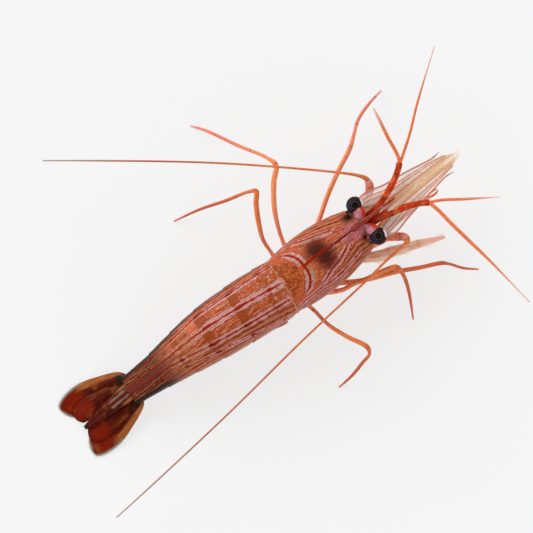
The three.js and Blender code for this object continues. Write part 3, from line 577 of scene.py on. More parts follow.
@dataclass(frozen=True)
class Finish:
    """A surface of the animal: its ground colours, the markings on it and how it takes the light."""

    name: str
    ground: str
    mottle: str
    markings: tuple[Marking, ...] = ()
    mottle_size: float = 0.5
    roughness: float = 0.3
    flesh: float = 0.15
    alpha: float = 1.0
    grain: float = 0.12
    relief: float = 0.012

    def material(self) -> bpy.types.Material:
        """The finish as a material, made once."""
        return bpy.data.materials.get(self.name) or self._build()

    def _build(self) -> bpy.types.Material:
        """Builds the nodes: mottled ground, markings in order, fine relief and a little spread in gloss.

        Returns:
            The new material.
        """
        made = bpy.data.materials.new(self.name)
        tree = cleared(made)
        place = add_node(tree, "TexCoord").outputs["Object"]
        mottle = add_node(tree, "TexNoise", {
            "Vector": place, "Scale": 1 / (self.mottle_size * MM), "Detail": 4.0, "Roughness": 0.65})
        ramp = add_node(tree, "MapRange", {"Value": mottle.outputs["Fac"], 1: 0.4, 2: 0.62})
        links = {0: ramp.outputs[0], 6: linear(self.ground), 7: linear(self.mottle)}
        colour = add_node(tree, "Mix", links, data_type="RGBA").outputs[2]
        for marking in self.markings:
            colour = marking.lay(tree, place, colour)
        grain = add_node(tree, "TexNoise", {
            "Vector": place, "Scale": 1 / (self.grain * MM), "Detail": 3.0, "Roughness": 0.55})
        bump = add_node(tree, "Bump", {
            "Height": grain.outputs["Fac"], "Strength": 1.0, "Distance": self.relief * MM})
        gloss = add_node(tree, "MapRange", {
            "Value": mottle.outputs["Fac"], 1: 0.3, 2: 0.7,
            3: self.roughness - 0.06, 4: self.roughness + 0.08})
        shader = add_node(tree, "BsdfPrincipled", {
            "Base Color": colour, "Roughness": gloss.outputs[0], "Normal": bump.outputs[0], "IOR": WET_CHITIN,
            "Subsurface Weight": self.flesh, "Subsurface Radius": (1.0, 0.45, 0.3),
            "Subsurface Scale": 0.12 * MM, "Alpha": self.alpha})
        add_node(tree, "OutputMaterial", {"Surface": shader.outputs[0]})
        return made


# Even stripes 0.84 mm apart along the flanks, and the pale borders of the red lines.
FLANK_LINES = Marking("#a44c26", 0.36, 0.12, 0.9, "lane", size=1.0, pitch=0.42, zone="flank", wobble=0.25)
PALE_BORDER = Marking("#c6908a", 0.06, -0.1, 0.95, "pale", size=0.32, stretch=2.6, wobble=0.5)
# Moulted, smooth chitin over living pigment cells. To the eye it is a skin with its colour inside: red
# lines with pale lavender borders, on ground that is streaked and speckled orange and brown. The cells
# are about 0.05 mm wide and are drawn four to eight times coarser, 0.2 to 0.4 mm, so that they show.
SHELL = Finish("painted_chitin_shell", "#b44e28", "#c0623a", mottle_size=0.35, relief=0.016, markings=(
    Marking("#dc8460", 0.48, 0.55, 0.95, Pattern.STREAK, size=0.28, stretch=7, zone="streak"),
    Marking("#c99a7c", 0.57, 0.61, 0.75, Pattern.STREAK, size=0.24, stretch=8, zone="streak"),
    Marking("#7c2610", 0.52, 0.57, 0.9, Pattern.STREAK, size=0.22, stretch=9, zone="streak"),
    Marking("#964010", 0.25, 0.75, 0.8, "tile", stretch=2.0, wobble=1.1),
    Marking("#8a3f1c", 0.52, 0.66, 0.5, Pattern.CLOUD, size=0.2),
    Marking("#c8783e", 0.42, 0.16, 0.65, Pattern.GRANULE, size=0.4, zone="grain"),
    Marking("#7a3c16", 0.5, 0.66, 0.7, Pattern.GRANULE, size=0.4, zone="grain"),
    Marking("#cc7640", 0.3, 0.1, 0.6, Pattern.GRANULE, size=0.24, zone="speckle"),
    Marking("#8a3812", 0.42, 0.6, 0.7, Pattern.GRANULE, size=0.28, zone="speckle"),
    FLANK_LINES,
    replace(FLANK_LINES, colour="#ba8264", start=0.13, full=0.05, strength=0.8),
    replace(FLANK_LINES, colour="#521006", start=0.27, full=0.35),
    replace(PALE_BORDER, colour="#8a3814", start=0.24, full=0.06, strength=0.8),
    PALE_BORDER,
    replace(PALE_BORDER, colour="#ac7048", zone="late", strength=0.9),
    Marking("#a04428", 0.54, 0.6, 0.85, Pattern.STREAK, size=0.22, stretch=5, zone="band"),
    Marking("#d4b8bc", 0.56, 0.64, 0.55, Pattern.CLOUD, size=0.4, zone="band"),
    Marking("#a04c20", 0.5, 0.58, 0.85, Pattern.CLOUD, size=0.9, zone="patch"),
    Marking("#c4a098", 0.57, 0.62, 0.6, Pattern.CLOUD, size=0.8, zone="patch"),
    Marking("#64200c", 0.0, 1.0, 0.9, "tail"),
    Marking("#7c3836", 0.2, 0.9, 0.6, "plum", size=0.25, stretch=6.0, wobble=1.8),
    # painted highlight: a salmon glow left of the middle of the fourth somite, where the back curves up
    # towards the light
    Marking("#de6e50", 0.2, 1.0, 0.6, "painted_highlight", size=0.3, stretch=5.0, wobble=1.3),
    Marking("#b86a88", 0.42, 0.55, 0.85, Pattern.CLOUD, zone="bloom"),
    Marking("#a87a50", 0.3, 1.0, 0.75, "gold", size=0.35, stretch=2.0, wobble=1.2),
    Marking("#7a381c", 1.1, 0.1, 0.6, "dark", size=0.6, stretch=2.0, wobble=0.8),
    Marking("#451414", 0.6, -0.65, 0.86, "dark", size=0.4, stretch=2.0, wobble=0.7),
    Marking("#932006", 0.06, -0.03, 1.0, "red", size=0.25, stretch=3.0, wobble=0.25),
    Marking("#3c1412", 0.6, -0.4, 0.35, "dark"),
    Marking("#401002", 0.0, 1.0, 0.45, "tail"),
    Marking("#886240", 0.11, 0.05, 0.8, "across", size=0.9, pitch=0.23, zone="tan", wobble=0.45),
    Marking("#5c1208", 0.1, -0.1, 0.9, "deep", size=0.3, wobble=0.2),
    Marking("#c37a54", 0.1, 0.0, 0.85, "rim", size=0.3, wobble=0.03),
    # painted shade: near-black where the flanks turn away from the light, and in the eye sockets
    Marking("#1c0a04", 0.0, 1.0, 0.95, "edge"),
    Marking("#0c0806", 0.05, -0.03, 1.0, "fleck"),
))
# The same chitin pressed flat in the tail fan, with the thickest pigment: a deep wine red that looks
# almost black where blades overlap, with a lighter strip along the outside and a thin colourless margin.
FAN = Finish("dark_chitin_fan", "#481003", "#5e1506", mottle_size=0.9, roughness=0.25, markings=(
    Marking("#2c0d05", 0.5, 0.66, 0.6, Pattern.CLOUD, size=1.1),
    Marking("#94542a", 0.0, 1.0, 0.95, "strip"),
    Marking("#b9703a", 0.5, 0.6, 0.6, Pattern.STREAK, size=0.3, stretch=10, zone="strip"),
    Marking("#7c1c08", 0.6, -0.5, 0.85, "spot", size=0.8, wobble=0.3),
    Marking("#8c4a20", 0.54, 0.66, 0.5, Pattern.CLOUD, size=1.4),
    Marking("#1a1608", 0.0, 1.0, 0.9, "base"),
    Marking("#7c6c60", 0.4, 0.22, 0.9, "margin", size=0.8, wobble=0.12),
    Marking("#a2968e", 0.2, 0.03, 0.7, "margin", size=0.8, wobble=0.1),
    Marking("#8c7868", 0.12, -0.1, 0.75, "pale", size=0.3, stretch=4.0, wobble=0.4),
    Marking("#5c1a08", 0.05, -0.08, 0.9, "red", size=0.3, stretch=4.0, wobble=0.2),
))
# Thin chitin over muscle, in a tube: light goes in, and the eye sees a warm, slightly waxy orange that
# pales to pink at the tips, darkest at the grooves of the joints. Its fibres are drawn 0.22 mm apart,
# about five times their own spacing.
LEG = Finish("thin_chitin_leg", "#ec8a5a", "#f0a074", mottle_size=0.7, flesh=0.25, markings=(
    # painted light: the leg lightened near its root, where the body's shadow falls on it
    Marking("#fca488", 0.4, 0.05, 0.8, "share"),
    Marking("#d47464", 0.4, 0.8, 0.8, "share"),
    Marking("#e0a098", 0.85, 1.0, 0.8, "share"),
    Marking("#c45a34", 0.52, 0.66, 0.4, Pattern.STREAK, size=0.22, stretch=8),
    Marking("#a63c2a", 0.35, 0.05, 0.4, "joint"),
))
# A shaded copy of the same cuticle: darker colours, as painted shade, for the right legs and the last
# left one, which lie away from the light.
SHADED_LEG = replace(LEG, name="shaded_chitin_leg", ground="#dc7644", mottle="#e28c58", markings=(
    # the same painted light near the root
    LEG.markings[0],
    Marking("#bc5540", 0.4, 0.75, 0.8, "share"),
    Marking("#cc887c", 0.85, 1.0, 0.8, "share"),
    *LEG.markings[3:],
))
# A string of chitin rings 0.3 mm long, each darker where it starts, so that the feeler looks like a
# finely dotted line, orange near the head and grey towards its end.
FEELER = Finish("ringed_chitin_feeler", "#d06a38", "#dc8452", roughness=0.35, flesh=0.1, markings=(
    Marking("#a4644a", 0.3, 0.65, 0.7, "share"),
    Marking("#aa9a90", 0.65, 0.95, 0.85, "share"),
    Marking("#94401c", 0.35, 0.1, 0.5, "annulus"),
))
# The same rings in the antennules' lashes: a clearer orange, pale at the end.
LASH = replace(FEELER, name="ringed_chitin_lash", ground="#dc6838", mottle="#e48656", markings=(
    Marking("#e6c4b6", 0.55, 1.0, 0.85, "share"),
    Marking("#a84420", 0.35, 0.1, 0.4, "annulus"),
))
# Thick-walled chitin segments full of red pigment: the reddest and most solid-looking part of the
# animal, with orange clouds about 1 mm wide, a dark groove at each joint and painted shade along its sides.
PEDUNCLE = Finish(
    "red_chitin_peduncle", "#b8300f", "#c84a1a", mottle_size=0.6,
    roughness=0.28, flesh=0.12, markings=(
        Marking("#d86c38", 0.48, 0.62, 0.7, Pattern.CLOUD, size=0.9),
        Marking("#7c1508", 0.5, 0.1, 0.85, "share"),
        Marking("#7c1a0a", 0.5, 0.6, 0.7, Pattern.STREAK, size=0.35, stretch=4),
        Marking("#5a2418", 0.25, 0.05, 0.6, "joint"),
        # painted shade along the stem's sides
        Marking("#7a2a18", 0.75, 0.98, 0.7, "edge"),
    ))
# Chitin as thin as a film, without pigment but for its ribs: what is behind it shows through in grey,
# tan and pink, between fine orange lines. Its grain follows ribs that are 0.2 to 0.3 mm apart.
SCALE = Finish("clear_chitin_scale", "#f8e2cc", "#faeee4", flesh=0.2, alpha=0.62, markings=(
    Marking("#ecd2cc", 0.46, 0.58, 0.6, Pattern.STREAK, size=0.3, stretch=8),
    Marking("#d8a878", 0.52, 0.62, 0.6, Pattern.STREAK, size=0.2, stretch=8),
    Marking("#d67a44", 0.1, -0.03, 0.95, "red", wobble=0.05),
    Marking("#4c2418", 0.0, 1.0, 0.9, "tip"),
))
# The soft margin of that blade, clear as wet film: the eye finds it by its edge and its gloss only.
MEMBRANE = Finish("clear_membrane", "#faf4ee", "#f4e6dc", roughness=0.25, flesh=0.0, alpha=0.3)
# Feather-like setae. They are 0.005 mm thick in life and stand close; each drawn one, 0.04 to 0.06 mm
# thick, stands for a small bundle, and together they give a soft, matt tan brush.
FRINGE = Finish("tan_setae_fringe", "#f6cc9c", "#fadcb8", roughness=0.5, flesh=0.0, alpha=0.8)
# The same bundles at the end of the tail fan, grey and half clear, like a faint halo.
PALE_FRINGE = Finish("pale_setae_fringe", "#9a8f88", "#b2a8a2", roughness=0.5, flesh=0.0, alpha=0.6)
# Soft, unhardened cuticle: a milky lilac skin with one bright red bar across it.
STALK = Finish("soft_cuticle_eyestalk", "#b8686e", "#d0949e", flesh=0.25, markings=(
    Marking("#c23c1c", 0.05, -0.05, 1.0, "red", size=0.3, wobble=0.05),
    Marking("#38100c", 0.1, -0.1, 0.95, "dark", size=0.3, wobble=0.1),
))
# Clear cornea, very smooth, over black pigment: a dark ball with thin brown rings, a painted blue sheen
# behind and a painted pale reflection at its outer front. Its facets are 0.03 mm wide in life and are
# drawn 0.1 mm wide, so that they show.
EYE = Finish(
    "faceted_cornea", "#0c0809", "#160c0e", mottle_size=0.25,
    roughness=0.14, flesh=0.0, grain=0.1, relief=0.004, markings=(
        # painted sheen: dark blue on the rear side of the cornea
        Marking("#10203c", 0.0, 1.0, 0.9, "teal"),
        Marking("#5a3436", 0.0, 1.0, 0.8, "rings"),
        Marking("#0c160e", 0.0, 1.0, 0.9, "pupil"),
        # painted reflection: a pale lilac crescent of light on the outer front of the cornea
        Marking("#e8dcea", 0.0, 1.0, 0.95, "painted_reflection"),
    ))
# Cuticle so thin that the pale muscle gives the colour: cream with tan fibres and a pink tip, with
# painted shade along its sides.
MAXILLIPED = Finish("thin_cuticle_maxilliped", "#fad2b2", "#f6d8c2", mottle_size=0.8, flesh=0.3, markings=(
    Marking("#c98a62", 0.5, 0.62, 0.6, Pattern.STREAK, size=0.3, stretch=10),
    Marking("#eba696", 0.55, 1.0, 0.7, "share"),
    Marking("#c08a68", 0.4, 0.02, 0.35, "joint"),
    # painted shade along the limb's sides
    Marking("#b87a5c", 0.7, 0.98, 0.6, "edge"),
))
# Soft cuticle between the plates, never hardened: matt, pinkish tan, with faint orange clouds 0.5 mm
# wide.
UNDERSIDE = Finish("soft_cuticle_underside", "#c98a68", "#d6a488", roughness=0.36, flesh=0.3, markings=(
    Marking("#b8603c", 0.52, 0.66, 0.5, Pattern.CLOUD),
    Marking("#cf8a7c", 0.55, 1.0, 0.6, "share"),
    Marking("#a84428", 0.2, 0.0, 0.4, "joint"),
))


# ---- Carapace and rostrum ----


@dataclass(frozen=True)
class Line:
    """A drawn line on the unrolled carapace: (x, distance from the middle) points, its half width, and
    the shares of its length over which it swells at its start and thins at its end."""

    points: Rows
    half: float
    fade: tuple[float, float] = (0.0, 0.0)

    def gap(self, along: Array, across: Array, extra: float = 0.0) -> Array:
        """Distance from the line's edge, negative inside it.

        For each stretch a b of the line, t = clip((p - a) . (b - a) / |b - a|^2, 0, 1) gives the nearest
        point a + t (b - a); the least distance is kept, less the half width there.

        Args:
            along: (rows, columns) x of the surface's points.
            across: their distances from the mid-dorsal line.
            extra: width of a border to take in on each side.

        Returns:
            (rows, columns) millimetres.
        """
        rows = np.array([(x, y, 0.0) for x, y in self.points])
        path = Route(rows).point(np.linspace(0, 1, 6 * len(rows)))[:, :2]
        points = np.stack([along.ravel(), across.ravel()], axis=-1)[:, None]
        start, step = path[:-1], np.diff(path, axis=0)
        t = np.clip(((points - start) * step).sum(-1) / (step**2).sum(-1), 0, 1)
        distance = np.linalg.norm(points - start - t[..., None] * step, axis=-1)
        nearest = distance.argmin(axis=1)
        pick = np.arange(len(nearest)), nearest
        share = (nearest + t[pick]) / len(step)
        swell = smoothstep(-0.02, self.fade[0] + 0.01, share) * smoothstep(1.02, 0.99 - self.fade[1], share)
        swollen = distance[pick] - (self.half + extra) * swell
        gap = swollen if any(self.fade) else distance[pick] - self.half - extra
        return gap.reshape(along.shape)


@dataclass(frozen=True)
class Carapace:
    """The thin shield over head and thorax, open below, with orbits and a spine beside each antenna."""

    axis: float = 9.3
    rows: Rows = (
        (-0.05, 4.45, 4.25, 3.0), (1.0, 4.65, 4.4, 3.8), (3.0, 4.9, 4.6, 4.25), (6.2, 5.0, 4.7, 4.3),
        (9.2, 4.8, 4.45, 4.1), (12.2, 4.25, 3.95, 3.45), (14.2, 3.65, 3.35, 2.7), (14.95, 3.25, 2.95, 2.2))
    back: float = 2.15
    flank: float = 2.5
    reach: float = 58.0  # degrees that each side runs on below the middle
    sweep_back: float = 0.75
    wall: float = 0.28
    orbit: float = 1.85
    spine_height: float = 10.15  # of the spine beside each antenna
    spine_length: float = 0.85
    rear: float = -0.05
    front: float = 14.95
    lines: int = 156
    columns: int = 315  # odd, so that one column lies exactly on the mid-dorsal line

    def section(self, x: Array) -> list[Array]:
        """The section's sizes, smooth between the rows of the table.

        Args:
            x: of the sections, in an array of any shape.

        Returns:
            Half width, height above the axis and depth below it, each of x's shape.
        """
        table = np.array(self.rows)
        place = np.interp(x.ravel(), table[:, 0], np.arange(len(table)))
        values = blend_rows(table[:, 1:], place)
        return [values[:, k].reshape(x.shape) for k in range(3)]

    def surface(self, x: Array, angle: Array, grow: float = 0.0) -> Array:
        """The shield: (x, w bend(cos a), axis + h bend(sin a)), with the depth for h below the axis.

        Args:
            x: (rows, columns).
            angle: (rows, columns) radians, a right angle at the mid-dorsal line.
            grow: millimetres added to each size.

        Returns:
            (rows, columns, 3) points.
        """
        width, height, depth = (size + grow for size in self.section(x))
        cos, sin = np.cos(angle), np.sin(angle)
        y = np.where(sin > 0, width * bend(cos, self.back), width * bend(cos, self.flank))
        z = np.where(sin > 0, height * bend(sin, self.back), depth * bend(sin, self.flank))
        return np.stack([x, y, self.axis + z], axis=-1)

    def build(self, bench: Bench) -> None:
        """Makes the shield: rows from the rear edge to the front one, which the orbits cut back.

        Args:
            bench: where pieces are made.
        """
        reach = np.radians(self.reach)
        angle = np.linspace(-reach, np.pi + reach, self.columns)[None, :]
        front = self.surface(np.full_like(angle, self.front), angle)[0]
        out = np.abs(front[:, 1])
        away = np.hypot(out - EYE_CENTRE[1], front[:, 2] - EYE_CENTRE[2])
        orbit = EYE_CENTRE[0] - np.sqrt(np.maximum(self.orbit**2 - away**2, 0))
        edge = np.where(away < self.orbit, np.minimum(self.front, orbit), self.front)
        edge = edge + self.spine_length * bell(front[:, 2], self.spine_height, 0.22) * (out > 2)
        edge = edge - 0.5 * smoothstep(7.2, 6.4, front[:, 2])
        rear = self.rear - self.sweep_back * np.cos(angle[0]) ** 2
        x = rear + np.linspace(0, 1, self.lines)[:, None] * (edge - rear)
        grid = self.surface(x, np.broadcast_to(angle, x.shape))
        grow = 0.1 * bell(x - rear, 0.3, 0.16) - 0.05 * bell(x - rear, 0.62, 0.12)
        grow = grow + 0.06 * bell(edge - x, 0.15, 0.12)
        across = across_from_middle(grid, self.columns // 2)
        grow = grow - 0.12 * bell(np.abs(across), 4.6, 0.35) * smoothstep(5, 8, x) * smoothstep(14, 11, x)
        grow = grow + 0.06 * bell(across, 0, 0.3) * smoothstep(3, 7, x)
        outer = grid + normals(grid) * -grow[..., None]
        inner = outer + normals(outer) * self.wall * (0.35 + 0.65 * smoothstep(0, 0.6, edge - x))[..., None]
        skin = Skin().plate(outer, inner, **self.paint(x, across, x - rear))
        bench.piece("carapace_shield", skin, SHELL, "shell", "carapace")

    def paint(self, x: Array, across: Array, from_rear: Array) -> Fields:
        """The fields of the markings.

        The red lines form two lobes behind a junction on the back, a line from there to the rostrum,
        and lines that run from the flanks towards the eyes.

        Args:
            x: of the surface's points.
            across: their distances from the mid-dorsal line.
            from_rear: their distances from the rear edge.

        Returns:
            The fields, by name.
        """
        ends = (0.3, 0.3)  # of lines that fade at both ends
        arcs = (
            Line(((1.8, 4.1), (2.67, 3.55), (3.33, 2.93), (3.92, 2.1), (4.25, 1.36), (4.42, 0.47),
                  (4.37, -0.12)), 0.2, (0.4, 0)),
            Line(((4.42, -0.2), (4.37, -1.22), (4.13, -1.98), (3.67, -2.7), (3.0, -3.36), (2.33, -3.72),
                  (1.6, -3.95)), 0.2, (0, 0.4)))
        stem = Line(((9.9, -0.3), (8.9, -0.15), (7.6, 0.0), (6.0, 0.0), (4.4, -0.1)), 0.2, (0.3, 0))
        ridge = Line(((9.0, -0.3), (11.5, -0.2), (13.2, -0.1), (16.5, 0.0)), 0.1)
        left = Line(((13.0, 1.0), (10.76, 1.91), (9.15, 2.56), (7.05, 3.32), (5.58, 4.01), (4.36, 4.68),
                     (2.4, 5.2), (-0.6, 5.5)), 0.13, (0.25, 0))
        right = Line(((12.6, -1.15), (11.5, -1.55), (9.09, -2.73), (7.26, -3.22), (5.64, -4.02),
                      (4.2, -4.4)), 0.16, ends)
        second = Line(((13.2, -3.1), (12.06, -3.8), (9.68, -4.5), (7.0, -4.95), (3.9, -4.75),
                       (-0.6, -5.2)), 0.13, (0.2, 0))
        third = Line(((13.0, -5.0), (9.7, -6.0), (5.92, -5.9), (-0.6, -6.0)), 0.09, (0.2, 0))
        left_band = Line(((3.6, 4.5), (6.3, 3.35), (7.57, 2.8), (9.3, 2.0), (11.6, 1.15)), 0.46, ends)
        glint = Line(((6.7, 2.4), (7.7, 2.5), (8.7, 1.8)), 0.14, ends)
        brown = [
            Line(((4.4, 3.5), (5.9, 2.7), (6.8, 2.2), (8.4, 1.7), (10.2, 0.9)), 0.07, ends),
            Line(((5.9, -0.6), (5.84, -1.87), (5.4, -2.8), (4.5, -3.7)), 0.08, ends),
            Line(((9.2, -1.0), (9.0, -1.8), (7.6, -2.6), (6.2, -3.1)), 0.06, ends),
            Line(((13.6, -1.3), (12.0, -2.2), (10.0, -3.3), (7.6, -4.1), (5.0, -4.3)), 0.06, ends),
            Line(((13.4, 2.4), (11.0, 3.3), (8.6, 4.2), (6.0, 5.0), (3.0, 5.8)), 0.07, ends),
            Line(((13.2, 0.7), (11.6, 1.1), (10.2, 1.5)), 0.06, ends)]
        ridge_gap, band_gap = ridge.gap(x, across), left_band.gap(x, across)
        red = np.minimum.reduce([
            ridge_gap, *(line.gap(x, across) for line in (*arcs, stem, left, right, second, third)),
            *(line.gap(x, across) + 0.01 for line in brown)])
        halo = (replace(arcs[0], fade=(0.45, 0.12)), replace(arcs[1], fade=(0.12, 0.45)))
        lobes = np.minimum(*(arc.gap(x, across, 0.55) for arc in halo))
        pale = np.minimum.reduce([
            lobes, band_gap, ridge_gap - 0.3, glint.gap(x, across), left.gap(x, across, 0.2),
            right.gap(x, across, 0.42), second.gap(x, across, 0.3), third.gap(x, across, 0.2)])
        # the two halves of the stomach, and the sockets of the eyes: centre and radii of each oval
        *stomach, left_socket, right_socket = (
            np.hypot((x - cx) / rx, (across - cy) / ry) - 1 for cx, cy, rx, ry in (
                (7.35, 0.8, 1.4, 1.35), (7.85, -1.0, 1.2, 1.5), (14.1, 2.2, 0.9, 0.9),
                (14.5, -2.1, 0.7, 0.6)))
        sockets = np.minimum(left_socket, right_socket)
        # how far forward the granular patch reaches, from (distance, x) points
        reach = np.interp(across, *zip(
            (-2.8, 0.6), (-2.44, 1.33), (-1.66, 2.64), (-1.0, 3.2), (-0.4, 3.15), (0.74, 3.2), (1.88, 2.41),
            (2.85, 1.41), (3.3, 0.6)), left=-2.0, right=-2.0)
        beads = ((1.9, 2.6), (2.25, 2.15), (2.6, 1.7), (2.95, 1.2), (3.2, 0.7), (3.3, 0.2))
        dots = np.min([np.hypot(x - cx, across - cy) for cx, cy in beads], axis=0)
        at = (-0.6, 4.4, 7, 12.6)
        outside = np.abs(across) - np.where(
            across > 0, np.interp(x, at, (5.3, 4.7, 3.4, 1.3)), np.interp(x, at, (4.6, 4.4, 3.6, 1.6)))
        return {
            "red": red,
            "pale": pale,
            "band": smoothstep(0.0, -0.12, pale),
            "deep": dots - 0.13,
            "dark": np.minimum.reduce([*stomach, sockets + 0.2]),
            "grain": smoothstep(-0.45, -0.05, reach - x),
            "streak": smoothstep(4.5, 6.5, x) * 0.95,
            "tile": 0.5 * smoothstep(0.0, 0.3, reach - x) + 0.4 * smoothstep(1.4, 0.6, x),
            "fleck": UNMARKED,
            "bloom": bell(x, 13.7, 1.5) * smoothstep(2.1, 0.7, np.abs(across + 0.2)),
            "gold": bell(x, 5.2 - 0.06 * across**2, 0.34) * smoothstep(0.2, -0.4, across)
            * smoothstep(-3.6, -3.0, across) + 0.75 * smoothstep(0.0, -0.15, lobes)
            * np.where(x < 4.4, smoothstep(2.6, 0.8, np.abs(across)), smoothstep(0.6, -0.6, across))
            + 0.5 * smoothstep(0.0, -0.2, band_gap),
            "flank": smoothstep(0.2, 0.7, outside),
            "lane": outside,
            # painted shade: a band along the far left flank, where it turns away from the light, and the eye
            # sockets under the eyes
            "edge": np.maximum(0.4 * bell(across, 7.2, 0.7), smoothstep(-0.1, -0.8, sockets)),
            "rim": np.abs(from_rear - 0.32) - 0.08,
            "along": x,
            "across": across}


@dataclass(frozen=True)
class Rostrum:
    """The toothed blade between the eyes, with a keel on each side; its root lies on the carapace."""

    root: float = 8.0
    orbit: float = 14.2
    tip: float = 21.8
    crest: float = 0.35
    top: tuple[float, float] = (13.35, 13.0)
    bottom: tuple[float, float] = (12.35, 12.85)
    dorsal: tuple[float, ...] = (9.4, 12.7, 15.0, 17.0, 18.7, 20.0)
    ventral: tuple[float, ...] = (17.9, 19.2, 20.3)
    rise: float = 0.42

    def teeth(self, x: Array, places: tuple[float, ...]) -> Array:
        """A row of teeth: each rises over 0.85 mm as t^1.6 and drops in 0.1 mm.

        Args:
            x: along the blade.
            places: of the points of the teeth.

        Returns:
            Their height at x.
        """
        start = np.stack([(x - place + 0.85) / 0.85 for place in places])
        drop = np.stack([(x - place) / 0.1 for place in places])
        return (np.clip(start, 0, 1) ** 1.6 * np.clip(1 - drop, 0, 1)).max(axis=0) * self.rise

    def build(self, bench: Bench, carapace: Carapace) -> None:
        """Sweeps the blade's section from root to tip.

        At height q, from -1 at the lower edge to 1 at the upper one, and with c = sqrt(1 - q^2), the half
        thickness is c (0.06 + 0.1 c + keel exp(-((z - keel height) / 0.2)^2)), run out at the tip.

        Args:
            bench: where pieces are made.
            carapace: whose back the root follows.
        """
        x = np.linspace(self.root, self.tip, 620)[:, None]
        back = carapace.axis + carapace.section(np.minimum(x, 14.9))[1]
        ease = smoothstep(12.0, self.orbit, x)
        top = np.where(x < self.orbit, (back + self.crest) * (1 - ease) + self.top[0] * ease,
                       np.interp(x, (self.orbit, self.tip), self.top))
        top = top - self.crest * 0.9 * smoothstep(self.root + 1.2, self.root, x) + self.teeth(x, self.dorsal)
        bottom = np.interp(x, (self.orbit, self.tip), self.bottom) - 0.8 * self.teeth(x, self.ventral)
        bottom = np.where(x < self.orbit, np.minimum(back - 0.5, 12.35 + 0 * x), bottom)
        q = np.sin(np.linspace(-np.pi / 2, np.pi / 2, 15))[None, :]
        z = (top + bottom) / 2 + q * (top - bottom) / 2
        keel_z = np.interp(x, (12.5, 21.5), (12.7, 12.93))
        keel = np.interp(x, (8.0, 12.5, 15.2, 18.0, 21.5, 21.8), (0.26, 0.34, 0.27, 0.13, 0.06, 0.02))
        close = np.sqrt(np.clip(1 - q**2, 0, 1))
        half = close * (0.06 + 0.1 * close + keel * bell(z, keel_z, 0.2)) * smoothstep(self.tip, 21.2, x)
        half = np.maximum(half, 0.012)
        left, right = (np.stack([np.broadcast_to(x, z.shape), side * half, z], axis=-1) for side in SIDES)
        grid = np.concatenate([left, right[:, -2:0:-1]], axis=1)
        out = np.abs(grid[..., 1])
        fields = {
            "red": np.minimum(np.abs(out - 0.24) - 0.05, out - 0.07),
            "pale": np.abs(out - 0.15) - 0.06,
            "band": 0.7,
            "tail": 0.45 * smoothstep(18.0, 15.0, x),
            **dict.fromkeys(("deep", "dark", "fleck", "rim"), UNMARKED),
            "along": x,
            "across": grid[..., 2] - keel_z}
        bench.piece("rostral_blade", Skin().tube(grid, **fields), SHELL, "shell", "rostrum")


# ---- Abdomen ----

ABDOMEN_ROWS = (
    (0.5, 0, 9.55, 4.3, 3.95), (-2.7, 0.25, 9.7, 4.5, 4.1), (-7.7, 0.69, 9.56, 4.47, 4.15),
    (-13.1, 1.17, 8.7, 4.18, 4.04), (-17.8, 1.55, 7.06, 3.56, 3.41), (-22.3, 1.94, 5.05, 2.84, 2.6),
    (-28.0, 2.45, 3.0, 2.25, 1.45))


@dataclass(frozen=True)
class Pleuron:
    """The lobe that hangs from a somite: its start and end along it, drop, squareness and outward bias."""

    start: float
    end: float
    drop: float
    hook: float
    outward: float = 0.0


